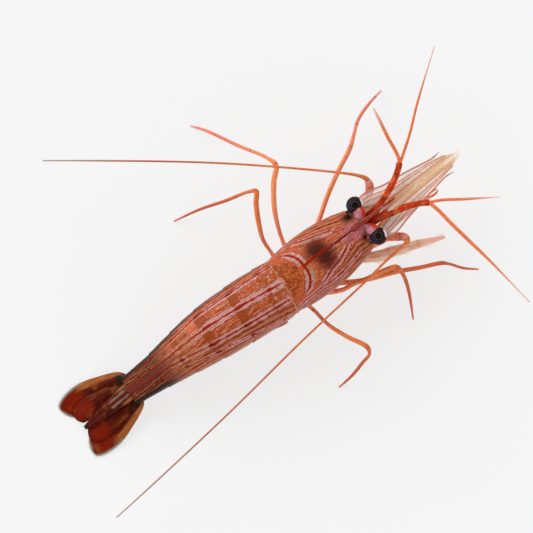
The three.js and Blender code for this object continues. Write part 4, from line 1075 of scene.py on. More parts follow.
@dataclass(frozen=True)
class Abdomen:
    """Six overlapping somites, each a thin plate bent over the back and down into side lobes."""

    lobes: tuple[Pleuron, ...] = (
        Pleuron(0.4, 0.85, 1.0, 2.2), Pleuron(-0.16, 1.2, 1.2, 2.8, 0.34), Pleuron(0.22, 1.14, 1.16, 2.4),
        Pleuron(0.22, 1.16, 1.14, 2.2), Pleuron(0.22, 1.2, 1.08, 1.7), Pleuron(-0.02, 1.0, 0.5, 4.0))
    squareness: float = 2.1
    flare: float = 0.05
    tuck: float = 0.12  # of a somite, hidden under the one before
    wall: float = 0.15
    lines: int = 72
    columns: int = 60  # over each half of the back, and again down each lobe

    def plate(self, index: int) -> tuple[Array, Fields]:
        """One somite's outer face.

        Over the back the section is w bend(cos a), h bend(sin a); below the middle it hangs down to a
        depth d, at y = w + flare - 0.1 w (d / h)^2, and its ends draw in to the lobe's centre by
        (1 - (d / drop)^2)^(1 / hook). The rear rim stands out by the flare, the front one in.

        Args:
            index: from 0 at the carapace to 5 at the tail.

        Returns:
            The grid of points and its fields.
        """
        lobe = self.lobes[index]
        route = Route.of(ABDOMEN_ROWS)
        arc = np.linspace(np.pi / 2, 0, self.columns, endpoint=False)
        deep = np.sin(np.linspace(0, np.pi / 2, self.columns)) * 0.99
        one_side = np.concatenate([arc * 0, deep])
        zz = np.concatenate([one_side[::-1], one_side[1:]])[None, :]
        angle = np.concatenate([np.zeros(self.columns), arc[::-1]])
        angle = np.concatenate([angle, (np.pi - angle[::-1])[1:]])[None, :]
        p = np.linspace(0, 1, self.lines)[:, None]
        middle, half = (lobe.start + lobe.end) / 2, (lobe.end - lobe.start) / 2
        rounded = half * np.clip(1 - zz**2, 1e-4, 1) ** (1 / lobe.hook)
        ease = smoothstep(0.0, 0.35, zz)
        front = -self.tuck * (1 - ease) + (middle - rounded) * ease
        rear = 1 - ease + (middle + rounded) * ease
        v = front + p * (rear - front)
        u = (index + v) / 6
        flat = u.ravel()
        width, height = (size.reshape(u.shape) for size in route.size(flat))
        flare = self.flare * (2 * v - 1) + lobe.outward * ease * (1 - smoothstep(0.0, 0.5, v))
        flare = flare + 0.02 * bell(v, 0.96, 0.025) + 0.03 * bell(v, 0.45, 0.25)
        depth = zz * lobe.drop * height
        side = (width + flare) * bend(np.cos(angle), self.squareness)
        side = side - np.sign(np.cos(angle)) * 0.1 * width * (depth / height) ** 2
        up = np.where(zz > 0, -depth, (height + flare) * bend(np.sin(angle), self.squareness))
        _, right, top = route.frames(flat)
        origin = route.point(flat)
        grid = (origin + side.ravel()[:, None] * right + up.ravel()[:, None] * top).reshape(*u.shape, 3)
        across = across_from_middle(grid, grid.shape[1] // 2)
        return grid, self.paint(index, v, grid[..., 0], across)

    def paint(self, index: int, v: Array, x: Array, across: Array) -> Fields:
        """The fields of the markings: five red lines along the back and flanks, with pale borders.

        Args:
            index: of the somite.
            v: place along it.
            x: of the surface's points.
            across: distance from the mid-dorsal line, positive on the left.

        Returns:
            The fields, by name.
        """
        place = index + v
        # each line: its (x, across) points from the tail to the head, half width and where it swells
        lines = (
            (((-28, 0.3), (-23, 0.25), (-19.9, 0.2), (-16.5, 0.32), (-12.4, 0.36), (-6.8, 0.24),
              (-0.7, -0.06)), 0.12, 0.81),
            (((-28, 1.6), (-21.5, 1.9), (-17.6, 2.25), (-13.1, 2.95), (-7.8, 2.99),
              (-3.0, 3.28)), 0.11, 0.92),
            (((-28, -0.75), (-21.1, -1.0), (-17.3, -1.6), (-13.5, -2.3), (-10.7, -2.52), (-6.1, -2.76),
              (-0.9, -2.85)), 0.12, 0.9),
            (((-28, -1.6), (-21.1, -2.1), (-16.4, -3.3), (-14.5, -3.8), (-11.0, -4.3), (-6.7, -5.0),
              (-4.4, -5.6), (-2.3, -5.9)), 0.08, 0.92),
            (((-28, 2.4), (-21.1, 3.0), (-16.4, 3.9), (-14.5, 4.4), (-11.0, 4.7), (-6.7, 5.1), (-4.4, 5.6),
              (-2.3, 5.9)), 0.08, 0.92))
        gaps, spots = [], []
        for points, half, node in lines:
            distance = np.abs(across - np.interp(x, *zip(*points)))
            swell = 0.14 * bell(v, node, 0.13) * smoothstep(3.7, 3.1, place)
            gaps.append(distance - half - swell)
            spots.append(np.hypot(distance / 0.24, (v - 0.98) / 0.1) - 1)
        red = np.minimum.reduce(gaps)
        fresh = smoothstep(0.0, 0.3, place)
        # the pale borders are widest beside the middle line and narrow before each rear rim
        rear = smoothstep(0.7, 0.82, v) * smoothstep(4.0, 3.4, place)
        width = (0.62 - 0.25 * rear) * (1 - 0.45 * smoothstep(3.2, 5.0, place))
        flank = smoothstep(3.3, 4.4, np.abs(across) + 0.35 * place)
        pale = np.minimum(gaps[0] - width, red - width * (0.72 - np.where(across > 0, 0.55, 0.3) * flank))
        tail = smoothstep(3.7, 5.2, place)
        plum = smoothstep(0.3, 0.1, across) * smoothstep(-0.95, -0.6, across) * smoothstep(3.6, 4.5, place)
        far = across - np.interp(x, (-28, -22.3, -17.8, -13, -7, 0), (1.5, 1.95, 2.7, 3.5, 4.1, 4.6))
        near = -across - np.interp(x, (-28, -22.3, -17.8, 0), (1.75, 2.4, 5.0, 8.5))
        return {
            "red": red + 0.5 * (1 - fresh),
            "pale": pale + 0.3 * smoothstep(4.6, 5.2, place),
            "band": smoothstep(0.0, -0.12, pale),
            "deep": np.minimum.reduce(spots[1:]) * 0.25 + 0.6 * smoothstep(1.2, 0.8, place),
            "dark": UNMARKED,
            "plum": plum,
            "late": smoothstep(2.4, 3.7, place),
            "fleck": np.hypot(x + 23.8, across - 0.57) - 0.12,
            # painted highlight: a salmon glow on the fourth somite, left of the middle
            "painted_highlight": bell(x, -14.8, 0.85) * bell(across, 1.8, 1.3),
            "tile": smoothstep(0.66, 0.82, v) * smoothstep(4.6, 3.6, place) * (1 - 0.5 * (place < 1)),
            "patch": smoothstep(1.25, 0.6, place),
            "speckle": 0.5 + 0.5 * smoothstep(0.35, 0.75, v),
            "streak": 0.5 + 0.5 * smoothstep(0.85, 0.6, v),
            "tan": tail * (1 - 0.75 * plum) * smoothstep(0.0, 0.1, red),
            "flank": flank * 0.9 * fresh,
            "lane": np.abs(across) * (0.72 + 0.08 * place),
            # painted shade along the outer flanks, stronger towards the tail: the far left side, and the near
            # right side of the last somites
            "edge": np.maximum(
                smoothstep(0.0, 1.0, far / np.interp(x, (-28, -17, 0), (0.45, 1.0, 1.4)))
                * smoothstep(3.2, 1.9, far) * (0.65 + 0.35 * smoothstep(-12, -20, x)),
                smoothstep(0.0, 0.5, near) * smoothstep(2.4, 1.4, near) * smoothstep(4.2, 5.2, place)),
            "tail": 0.9 * tail,
            "rim": UNMARKED,
            "along": place * 4.9,  # a somite is about 4.9 mm long
            "across": across}

    def build(self, bench: Bench) -> None:
        """Makes the six plates, each a piece of its own.

        Args:
            bench: where pieces are made.
        """
        for index in range(6):
            outer, fields = self.plate(index)
            # the normals of a grid whose columns run from left to right over the back point inwards
            skin = Skin().plate(outer, outer + normals(outer) * self.wall, **fields)
            bench.piece(f"somite_plate_{index + 1}", skin, SHELL, "shell", f"abdomen_{index + 1}")


@dataclass(frozen=True)
class Flesh:
    """The soft body inside the shells, one skin from the mouth to the tail."""

    rows: Rows = (
        (14.4, 0, 9.2, 1.5, 2.0, 2.8), (13.4, 0, 9.25, 2.9, 2.7, 3.6), (12.0, 0, 9.3, 3.6, 3.35, 4.7),
        (9.2, 0, 9.3, 4.2, 3.85, 5.3), (6.2, 0, 9.3, 4.4, 4.1, 5.4), (3.0, 0, 9.3, 4.3, 4.0, 5.3),
        (0.8, 0, 9.4, 4.0, 3.6, 4.6), (-2.7, 0.25, 9.7, 4.0, 3.6, 2.95), (-6.7, 0.6, 9.65, 4.0, 3.65, 2.95),
        (-12.3, 1.1, 8.9, 3.75, 3.6, 2.9), (-17.2, 1.5, 7.3, 3.15, 3.0, 2.5),
        (-21.8, 1.9, 5.25, 2.45, 2.25, 1.9), (-27.0, 2.4, 3.3, 1.8, 1.1, 1.1),
        (-28.2, 2.45, 2.95, 1.2, 0.7, 0.6))

    def build(self, bench: Bench) -> None:
        """Sweeps the body: w bend(cos a) and h or d bend(sin a), with a low rib under each somite.

        Args:
            bench: where pieces are made.
        """
        route = Route.of(self.rows)
        u, run = route.even(0.25)
        angle = ring(72)
        width, height, depth = route.size(u)
        x = route.point(u)[:, :1]
        ribs = 1 + 0.035 * np.cos(2 * np.pi * x / 4.7) * smoothstep(0.0, -2.0, x)
        sine = np.sin(angle)
        up = np.where(sine > 0, height * bend(sine, 2.1), depth * ribs * bend(sine, 2.6))
        grid = route.sweep(u, width * bend(np.cos(angle), 2.3), up)
        skin = Skin().tube(grid, share=(run / run[-1])[:, None], joint=NO_JOINT)
        bench.piece("soft_body", skin, UNDERSIDE, "underside", "thorax")


# ---- Limbs and feelers ----


@dataclass(frozen=True)
class Limb:
    """A round jointed limb: rows of [x, y, z, radius], with its joints given as row numbers."""

    rows: Rows
    joints: tuple[float, ...] = ()
    sides: int = 14
    step: float = 0.14
    slim: float = 1.0
    swell: float = 0.07
    groove: float = 0.14
    annulus: float = 0.0
    ringed: tuple[float, float] = (0.0, 1.0)

    def grow(self, skin: Skin) -> Skin:
        """Adds the limb to a skin.

        The radius is r slim dome (1 + swell exp(-(d/0.45)^2) - groove exp(-(d/0.1)^2)) at distance d from a
        joint, with dome = sqrt(1 - (1 - e/r)^2) within r of an end, and annuli that flare towards the tip.

        Args:
            skin: the piece's skin.

        Returns:
            The same skin.
        """
        route = Route.of(self.rows)
        first = self.rows[0][3] * self.slim
        step = min(self.step, self.annulus / 4) if self.annulus else self.step
        u, run = route.even(step, crowd=min(first, 0.3))
        radius = route.size(u)[0] * self.slim
        run = run[:, None]
        end = np.minimum(run, run[-1] - run)
        dome = np.sqrt(np.clip(1 - np.clip(1 - end / np.minimum(radius, 0.3), 0, 1) ** 2, 0.01, 1))
        knots = np.interp(np.array(self.joints, float) / (len(self.rows) - 1), u, run[:, 0])
        joint = np.abs(run - knots[None, :]).min(axis=1, keepdims=True) if len(knots) else NO_JOINT + 0 * run
        shape = 1 + self.swell * bell(joint, 0, 0.45) - self.groove * bell(joint, 0, 0.1)
        ringing = run * 0 + 1
        if self.annulus:
            share = run / run[-1]
            inside = (share >= self.ringed[0]) & (share <= self.ringed[1])
            ringing = np.where(inside, (run / self.annulus) % 1, 1)
            shape = shape * np.where(inside, 0.93 + 0.12 * ringing, 1)
        angle = ring(self.sides)
        size = radius * dome * shape
        grid = route.sweep(u, size * np.cos(angle), size * np.sin(angle), upright=False)
        # edge is 1 at a limb's sides as seen from above and 0 at its top and bottom: the finishes that read
        # it paint shade there
        around = (grid - route.point(u)[:, None])[..., 2] / np.maximum(size, 1e-6)
        return skin.tube(grid, share=run / run[-1], joint=joint, annulus=ringing, along=run,
                         across=angle * radius, edge=1 - np.abs(around))


def on_side(rows: Rows, side: int) -> Rows:
    """The left side's rows on a given side: y becomes side y."""
    return tuple((x, side * y, *rest) for x, y, *rest in rows)


@dataclass(frozen=True)
class Legs:
    """Five pairs of walking legs; the first two end in pincers."""

    walking: tuple[tuple[int, int, tuple[float, ...], Rows], ...] = (  # side, number, knees and rows
        (LEFT, 3, (5.05, 6.6, 8.5), (
            (5.4, 2.5, 4.7, 0.6), (6.8, 3.7, 3.9, 0.5), (10.3, 5.5, 4.4, 0.42), (13.9, 7.7, 5.6, 0.42),
            (17.6, 9.6, 6.7, 0.42), (20.9, 11.1, 7.5, 0.41), (22.6, 12.5, 6.7, 0.31),
            (24.6, 14.3, 4.6, 0.3), (27.3, 15.6, 2.4, 0.27), (30.2, 16.5, 0.17, 0.16))),
        (LEFT, 4, (6.1, 7.6, 9.4), (
            (3.4, 2.5, 4.7, 0.6), (3.55, 3.8, 3.9, 0.45), (4.1, 6.2, 4.4, 0.36), (4.85, 8.3, 5.4, 0.37),
            (6.2, 10.9, 6.8, 0.44), (8.5, 13.9, 8.1, 0.47), (10.3, 15.7, 8.7, 0.46),
            (9.95, 17.4, 8.3, 0.31), (7.62, 22.1, 5.4, 0.3), (4.85, 28.2, 1.2, 0.27),
            (3.6, 30.1, 0.17, 0.16))),
        (LEFT, 5, (6.1, 7.6, 9.5), (
            (1.4, 2.3, 4.7, 0.6), (1.4, 3.8, 3.9, 0.42), (1.7, 6.2, 4.4, 0.33), (1.9, 8.3, 5.4, 0.37),
            (3.0, 10.7, 6.8, 0.44), (4.4, 13.0, 7.9, 0.46), (5.5, 14.4, 8.3, 0.43), (4.6, 15.1, 7.8, 0.3),
            (1.1, 16.6, 5.0, 0.3), (-3.2, 18.6, 1.8, 0.25), (-7.3, 19.8, 0.17, 0.16))),
        (RIGHT, 3, (6.05, 7.3, 8.6), (
            (5.4, -2.5, 4.7, 0.6), (6.6, -3.5, 3.9, 0.5), (9.0, -5.1, 4.1, 0.42), (11.4, -6.5, 4.9, 0.42),
            (14.8, -8.0, 5.7, 0.42), (18.3, -9.9, 6.4, 0.38), (21.3, -11.4, 6.8, 0.36),
            (22.2, -12.1, 5.8, 0.25), (23.6, -13.5, 2.8, 0.24), (25.4, -14.7, 0.17, 0.16))),
        (RIGHT, 4, (6.05, 7.4, 8.6), (
            (3.4, -2.5, 4.7, 0.6), (4.4, -3.6, 3.9, 0.5), (6.8, -5.1, 4.4, 0.42), (8.8, -5.7, 6.0, 0.42),
            (10.9, -6.5, 7.3, 0.42), (14.1, -7.4, 8.8, 0.42), (15.5, -8.1, 9.0, 0.44),
            (15.6, -9.4, 7.8, 0.36), (14.8, -11.5, 4.4, 0.3), (12.8, -14.8, 0.17, 0.16))),
        (RIGHT, 5, (6.05, 7.5, 9.5), (
            (1.4, -2.3, 4.7, 0.6), (1.4, -3.8, 3.9, 0.4), (1.65, -5.5, 4.4, 0.33), (1.8, -7.4, 5.8, 0.33),
            (2.2, -9.2, 6.8, 0.36), (3.2, -11.9, 7.8, 0.38), (4.6, -15.0, 8.5, 0.43),
            (4.3, -15.9, 7.8, 0.29), (2.6, -16.1, 5.6, 0.3), (0.1, -16.3, 2.6, 0.27),
            (-2.5, -16.2, 0.17, 0.16))))
    first: Pair = (
        ((8.6, 1.4, 3.75, 0.55), (11.5, 1.75, 2.7, 0.42), (15.0, 1.9, 3.6, 0.42), (18.6, 1.8, 4.9, 0.42),
         (21.6, 1.5, 5.9, 0.4), (23.2, 1.35, 6.3, 0.48)),
        ((8.6, -1.4, 3.75, 0.55), (12.5, -1.9, 2.8, 0.42), (17.4, -2.0, 4.2, 0.42), (21.2, -1.9, 5.4, 0.42),
         (24.4, -1.95, 6.1, 0.4), (25.9, -2.0, 6.4, 0.48)))
    second: Rows = (
        (6.9, 0.8, 3.6, 0.5), (10.5, 0.65, 2.4, 0.36), (14.5, 0.6, 2.8, 0.34), (18.5, 0.6, 4.2, 0.3),
        (21.5, 0.65, 5.9, 0.3), (23.6, 0.7, 7.0, 0.36))

    def fingers(self, skin: Skin, rows: Rows) -> None:
        """Adds the pincer: two bowed fingers that carry on from the last stretch of the leg.

        Args:
            skin: the leg's skin.
            rows: the leg's table.
        """
        before, last = (np.array(row[:3]) for row in rows[-2:])
        along = unit(last - before)
        across = unit(np.cross(along, UP))
        for way, length in ((1, 1.9), (-1, 1.8)):
            bow = ((-0.35, 0.06, 0.25), (0.25, 0.24, 0.2), (0.95, 0.3, 0.19), (1.5, 0.22, 0.14),
                   (length, 0.07, 0.05))
            finger = tuple((*(last + along * a + across * way * b), r) for a, b, r in bow)
            Limb(finger, step=0.08, sides=10).grow(skin)

    def build(self, bench: Bench) -> None:
        """Makes each leg a piece; the second pair's carpus is ringed.

        Args:
            bench: where pieces are made.
        """
        for side, number, knees, rows in self.walking:
            name = f"leg_{number}_{SIDES[side]}"
            skin = Limb(rows, (1.0, 1.7, *knees), slim=0.9).grow(Skin())
            # the right legs and the last left one take the copy with painted shade
            finish = LEG if side == LEFT and number < 5 else SHADED_LEG
            bench.piece(f"walking_{name}", skin, finish, "leg", name)
        for (side, word), first in zip(SIDES.items(), self.first):
            for number, rows in enumerate((first, on_side(self.second, side)), 1):
                ringing = {"annulus": 0.5, "ringed": (0.5, 0.85)} if number == 2 else {}
                skin = Limb(rows, (1.0, 2.0, 3.4, 4.6), **ringing).grow(Skin())
                self.fingers(skin, rows)
                bench.piece(f"clawed_leg_{number}_{word}", skin, LEG, "leg", f"leg_{number}_{word}")


@dataclass(frozen=True)
class Feelers:
    """Antennules, antennae and their stems."""

    antennule_stem: Pair = (
        ((15.0, 0.66, 9.9, 0.4), (17.0, 0.78, 10.25, 0.45), (19.0, 0.95, 10.5, 0.55),
         (20.4, 1.35, 10.6, 0.52), (22.3, 2.1, 10.8, 0.6), (24.0, 3.0, 11.0, 0.52),
         (25.5, 4.15, 11.2, 0.58)),
        ((15.0, -0.66, 9.9, 0.4), (17.0, -0.75, 10.25, 0.45), (18.6, -0.95, 10.5, 0.55),
         (20.0, -1.3, 10.6, 0.52), (22.0, -1.8, 10.8, 0.6), (24.2, -2.8, 11.0, 0.52),
         (25.4, -3.6, 11.2, 0.58)))
    inner_lobe: Rows = (
        (14.9, 0.33, 9.75, 0.37), (16.5, 0.33, 10.05, 0.38), (18.2, 0.36, 10.3, 0.37),
        (19.6, 0.5, 10.45, 0.22))
    antennule_outer: Pair = (
        ((25.35, 3.9, 11.15, 0.3), (25.85, 5.2, 11.4, 0.3), (26.3, 8.1, 12.2, 0.3),
         (27.0, 11.6, 13.2, 0.26), (27.2, 12.9, 13.5, 0.12)),
        ((25.2, -3.35, 11.15, 0.3), (25.6, -4.9, 11.35, 0.32), (26.02, -8.4, 11.8, 0.32),
         (26.6, -12.4, 12.2, 0.3), (27.18, -16.6, 13.0, 0.22), (28.1, -25.3, 14.0, 0.1)))
    antennule_inner: Pair = (
        ((25.1, 3.75, 11.1, 0.26), (26.83, 4.9, 11.45, 0.26), (29.33, 6.55, 12.3, 0.24),
         (32.9, 9.3, 13.5, 0.2), (40.2, 14.4, 15.5, 0.09)),
        ((24.9, -3.3, 11.1, 0.26), (26.9, -4.35, 11.45, 0.26), (30.0, -6.7, 12.5, 0.24),
         (34.2, -9.7, 13.5, 0.1)))
    antenna_stem: Pair = (
        ((13.4, 2.3, 8.2, 0.9), (16.4, 3.0, 8.2, 0.9), (17.8, 3.1, 8.15, 0.62), (18.8, 3.5, 8.2, 0.58),
         (19.8, 4.6, 8.4, 0.55), (19.9, 5.4, 8.9, 0.45)),
        ((13.4, -2.3, 8.2, 0.9), (16.2, -2.9, 8.2, 0.9), (17.2, -3.4, 8.15, 0.62), (18.0, -4.0, 8.2, 0.58),
         (19.2, -5.0, 8.4, 0.55), (19.4, -5.7, 8.9, 0.45)))
    antenna: Pair = (
        ((19.95, 4.9, 8.6, 0.42), (19.95, 5.6, 9.05, 0.38), (19.3, 6.6, 9.5, 0.27), (17.0, 8.9, 10.0, 0.19),
         (9.9, 15.3, 11.0, 0.17), (4.1, 20.4, 11.1, 0.16), (-1.8, 25.3, 11.0, 0.15),
         (-10.6, 32.4, 10.2, 0.14), (-17.6, 38.0, 9.2, 0.1)),
        ((19.45, -5.2, 8.6, 0.42), (19.3, -5.85, 9.1, 0.36), (18.3, -6.1, 9.4, 0.27),
         (14.7, -6.45, 9.8, 0.2), (11.0, -7.0, 9.9, 0.18), (1.8, -7.9, 9.5, 0.16),
         (-3.25, -8.42, 9.19, 0.16), (-17.9, -10.2, 8.2, 0.14), (-34.3, -11.7, 6.6, 0.13),
         (-41.4, -12.2, 5.6, 0.1)))

    def build(self, bench: Bench) -> None:
        """Makes the stems and the ringed lashes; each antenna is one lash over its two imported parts.

        Args:
            bench: where pieces are made.
        """
        for at, (side, word) in enumerate(SIDES.items()):
            stem = Limb(self.antennule_stem[at], (2.9, 5.0), step=0.1, sides=18, swell=0.1, slim=0.88)
            skin = stem.grow(Skin())
            Limb(on_side(self.inner_lobe, side), step=0.1).grow(skin)
            skin.fields[-1]["share"] = skin.fields[-1]["share"] * 0.3
            bench.piece(f"antennule_stem_{word}", skin, PEDUNCLE, "peduncle", f"antennule_peduncle_{word}")
            for part, table in (("outer", self.antennule_outer), ("inner", self.antennule_inner)):
                lash = Limb(table[at], annulus=0.32, sides=10, slim=0.9).grow(Skin())
                bench.piece(f"antennule_lash_{part}_{word}", lash, LASH, "feeler", f"antennule_{part}_{word}")
            base = Limb(self.antenna_stem[at], (1.2, 2.3, 3.6), step=0.1, sides=20, slim=1.12).grow(Skin())
            bench.piece(f"antenna_stem_{word}", base, LEG, "feeler", f"antenna_peduncle_{word}")
            lash = Limb(self.antenna[at], annulus=0.3, sides=8).grow(Skin())
            nodes = (f"antenna_near_{word}", f"antenna_far_{word}")
            bench.piece(f"antenna_lash_{word}", lash, FEELER, "feeler", *nodes)


@dataclass(frozen=True)
class Eyes:
    """Two round corneas on short stalks."""

    radius: float = 1.35
    stalk: Rows = (
        (14.8, 0.7, 11.3, 0.58), (15.4, 1.0, 11.4, 0.78), (15.8, 1.45, 11.5, 0.95),
        (16.0, 2.0, 11.55, 1.05), (16.1, 2.55, 11.6, 1.12), (16.1, 2.9, 11.6, 1.1))

    def build(self, bench: Bench) -> None:
        """Makes each cornea a ball whose rows run round the line of sight, and each stalk a short limb.

        Args:
            bench: where pieces are made.
        """
        for side, word in SIDES.items():
            centre = EYE_CENTRE * (1, side, 1)
            gaze = unit(np.array([0.25, side, 0.1]))
            right = unit(np.cross(gaze, UP))
            top = np.cross(right, gaze)
            polar = np.linspace(0.02, np.pi - 0.02, 60)[:, None]
            angle = ring(96)
            out = np.sin(polar)
            way = (np.cos(polar)[..., None] * gaze + (out * np.cos(angle))[..., None] * right
                   + (out * np.sin(angle))[..., None] * top)
            up = way @ unit(np.array([0.0, -0.16, 0.99]))
            rim = np.sqrt(np.clip(1 - up**2, 0, 1)) + (up < 0)
            fields = {
                # painted reflection on the cornea's outer front, above its middle
                "painted_reflection": smoothstep(0.78, 0.86, way @ unit(np.array([0.93, -0.3, 0.12])))
                * smoothstep(0.66, 0.56, way[..., 2]) * smoothstep(0.08, 0.34, way[..., 2]),
                # painted sheen on the rear side of the cornea
                "teal": smoothstep(0.45, 0.8, way @ unit(np.array([-0.9, 0.15, 0.15]))),
                "rings": bell(rim, 0.44, 0.05) + 0.7 * bell(rim, 0.72, 0.05),
                "pupil": smoothstep(0.34, 0.26, rim),
            }
            ball = Skin().tube(centre + way * self.radius, **fields)
            bench.piece(f"cornea_{word}", ball, EYE, "eye", f"eye_{word}")
            route = Route.of(on_side(self.stalk, side))
            u, _ = route.even(0.08)
            size = route.size(u)[0]
            grid = route.sweep(u, size * np.cos(angle[:, ::2]), size * np.sin(angle[:, ::2]))
            off = (grid - route.point(u)[:, None]) / size[..., None]
            front = off[..., 0]
            stalk = Skin().tube(
                grid, red=np.abs(front - 0.62) * 0.8 - 0.2 + 0.3 * (off[..., 2] < 0), dark=front + 0.78)
            bench.piece(f"stalk_{word}", stalk, STALK, "eyestalk", f"eyestalk_{word}")


# ---- Blades: tail fan, antennal scales, swimmerets ----


@dataclass(frozen=True)
class Blade:
    """A thin blade: rows of [x, y, z, half width, half thickness], with ridges at shares of its width."""

    rows: Rows
    thin: float = 0.4
    ridges: tuple[tuple[float, float, float], ...] = ()  # share across, height, width in mm
    sides: int = 64
    step: float = 0.16
    upright: bool = True
    squareness: float = 2.2

    def grid(self) -> tuple[Array, Fields, Array]:
        """The blade's skin.

        The section is w bend(cos a) to the side and thin t sin a up, plus ridges
        h exp(-((side - share w) / width)^2) on the upper face; the ends round off as a quarter ellipse.

        Returns:
            The points, the fields and the middle of each row.
        """
        route = Route.of(self.rows)
        u, run = route.even(self.step, crowd=0.6)
        width, thick = route.size(u)
        run = run[:, None]
        end = np.minimum(run, run[-1] - run)
        close = np.sqrt(np.clip(1 - np.clip(1 - end / 0.6, 0, 1) ** 2, 0.002, 1))
        width = width * close
        angle = ring(self.sides)
        side = width * bend(np.cos(angle), self.squareness)
        up = thick * self.thin * close * np.sin(angle)
        for share, height, breadth in self.ridges:
            up = up + (np.sin(angle) > 0) * height * close * bell(side, share * width, breadth)
        grid = route.sweep(u, side, up, upright=self.upright)
        left = grid[..., 1] - route.point(u)[:, None, 1]
        fields = {
            "share": run / run[-1],
            "along": run,
            "across": np.abs(side) * np.sign(left),
            "margin": np.minimum(width - np.abs(side), run[-1] - run),
            "width": width}
        return grid, fields, route.point(u)


@dataclass(frozen=True)
class TailFan:
    """The telson and two pairs of uropods, fringed with fine setae."""

    middle: float = 2.45
    telson: Rows = (
        (-27.6, 2.5, 3.1, 1.3, 0.8), (-28.5, 2.5, 3.0, 1.35, 0.85), (-31.0, 2.5, 2.35, 1.2, 0.6),
        (-34.5, 2.45, 1.5, 0.8, 0.4), (-37.3, 2.4, 0.85, 0.42, 0.27))
    inner: Rows = (
        (-27.4, 0.9, 2.35, 0.6, 0.4), (-29.2, 1.2, 1.8, 0.9, 0.33), (-32.0, 1.65, 1.3, 1.35, 0.3),
        (-34.8, 1.9, 0.85, 1.6, 0.28), (-36.4, 1.85, 0.57, 1.45, 0.26), (-37.2, 1.75, 0.44, 1.15, 0.22),
        (-37.6, 1.7, 0.4, 0.8, 0.2))
    outer: Rows = (
        (-27.4, 1.7, 2.4, 0.6, 0.4), (-28.6, 2.45, 1.95, 1.1, 0.33), (-31.6, 3.25, 1.15, 1.6, 0.3),
        (-34.4, 3.8, 0.5, 1.9, 0.28), (-36.4, 3.6, 0.22, 2.05, 0.26), (-37.6, 3.3, 0.15, 1.9, 0.22),
        (-38.35, 3.0, 0.13, 1.4, 0.2))
    spines: Rows = ((-33.2, 0.75, 1.95), (-35.2, 0.6, 1.5), (-37.0, 0.25, 0.9))
    spine_form: Rows = ((0, 1, 0, 0.09), (0.25, 1.06, 0.06, 0.06), (0.5, 1.12, 0.08, 0.02))
    spread_left: float = 1.12
    spread_right: float = 0.86

    def build(self, bench: Bench) -> None:
        """Makes the telson with its spines, the uropods and the fringe along their margins.

        Args:
            bench: where pieces are made.
        """
        blade = Blade(self.telson, thin=0.9, ridges=((-0.45, 0.1, 0.14), (0.45, 0.1, 0.14)))
        grid, fields, _ = blade.grid()
        across, share = fields["across"], fields["share"]
        fields["red"] = np.abs(across) - 0.16 + 0.6 * smoothstep(0.6, 0.75, share)
        pale_line = np.abs(np.abs(across) - 0.48 * (1 - 0.45 * share)) - 0.13
        fields["pale"] = pale_line + 0.6 * smoothstep(0.4, 0.6, share)
        fields["base"] = 0.9 * smoothstep(0.85, 1.0, share)
        fields["strip"] = smoothstep(0.6, 0.8, np.abs(across) / 1.3) * smoothstep(0.4, 0.1, share)
        fields["spot"] = fields["margin"] = UNMARKED
        skin = Skin().tube(grid, **fields)
        for side in SIDES:
            for x, y, z in self.spines:
                rows = tuple((x - back, self.middle + side * y * out, z + up, radius)
                             for back, out, up, radius in self.spine_form)
                Limb(rows, sides=8, step=0.08).grow(skin)
                plain = np.full(len(skin.points[-1]), UNMARKED)
                skin.fields[-1].update(margin=plain, spot=plain, pale=plain, red=plain)
        bench.piece("telson_plate", skin, FAN, "tail_fan", "telson")
        fringe = Skin()
        for side in SIDES:
            for kind, rows in (("inner", self.inner), ("outer", self.outer)):
                self.uropod(bench, fringe, kind, side, rows)
        bench.piece("tail_fringe", fringe, PALE_FRINGE, "tail_fan")

    def uropod(self, bench: Bench, fringe: Skin, kind: str, side: int, rows: Rows) -> None:
        """Makes one blade of the fan and its part of the fringe.

        Args:
            bench: where pieces are made.
            fringe: the skin that gathers the setae.
            kind: inner or outer.
            side: LEFT or RIGHT.
            rows: the blade's table, with y as a distance from the tail's middle line.
        """
        out = side * (self.spread_left if side == LEFT else self.spread_right)
        placed = tuple((x, self.middle + y * out, z, *rest) for x, y, z, *rest in rows)
        ridges = ((0.0, 0.07, 0.2), (0.5, 0.03, 0.2))
        grid, fields, centre = Blade(placed, thin=0.4, ridges=ridges).grid()
        share, width = fields["share"], np.maximum(fields["width"], 0.05)
        outward = fields["across"] * side / width
        ends = smoothstep(0.03, 0.12, share) * smoothstep(0.78, 0.6, share)
        fields["strip"] = smoothstep(0.25, 0.5, outward) * ends * (0.2 if kind == "inner" else 1)
        fields["base"] = smoothstep(0.24, 0.1, share) * smoothstep(0.75, 0.3, outward)
        fields["spot"] = np.hypot((share - 0.82) / 0.16, (outward - 0.1) / 0.85) - 1
        free = smoothstep(0.3, 0.7, outward) * smoothstep(0.5, 0.62, share)
        end = np.clip(smoothstep(0.86, 0.93, share) + free, 0, 1) * (kind == "outer")
        fields["margin"] = fields["margin"] + 1.2 * (1 - end) - 0.05
        fields["pale"] = fields["red"] = UNMARKED
        word = SIDES[side]
        skin = Skin().tube(grid, **fields)
        bench.piece(f"uropod_{kind}_blade_{word}", skin, FAN, "tail_fan", f"uropod_{kind}_{word}")
        if kind == "inner":
            return
        half = grid.shape[1] // 2
        edge = np.vstack([grid[:, 0], grid[::-1, half]])
        away = np.vstack([grid[:, 0] - centre, (grid[:, half] - centre)[::-1]])
        run = run_along(edge)
        # setae stand on the outer blade's far half, from 0 to 1 round the rim
        first_side = (grid[len(grid) // 2, 0, 1] - centre[len(grid) // 2, 1]) * side > 0
        low, high = (0.3, 0.64) if first_side else (0.36, 0.7)
        even = np.arange(low * run[-1], high * run[-1], 0.07)
        roots = read_off(even, run, edge)
        travel = unit(unit(read_off(even, run, away) + (-0.25, 0, 0)) * (1, 1, 0.2)) * 0.34
        curl = np.array([[-0.12, 0.0, 0.0]])
        fringe.strands(roots - travel * 0.2, travel, curl, 0.022, even / run[-1], 0.5 + 0.25 * side)


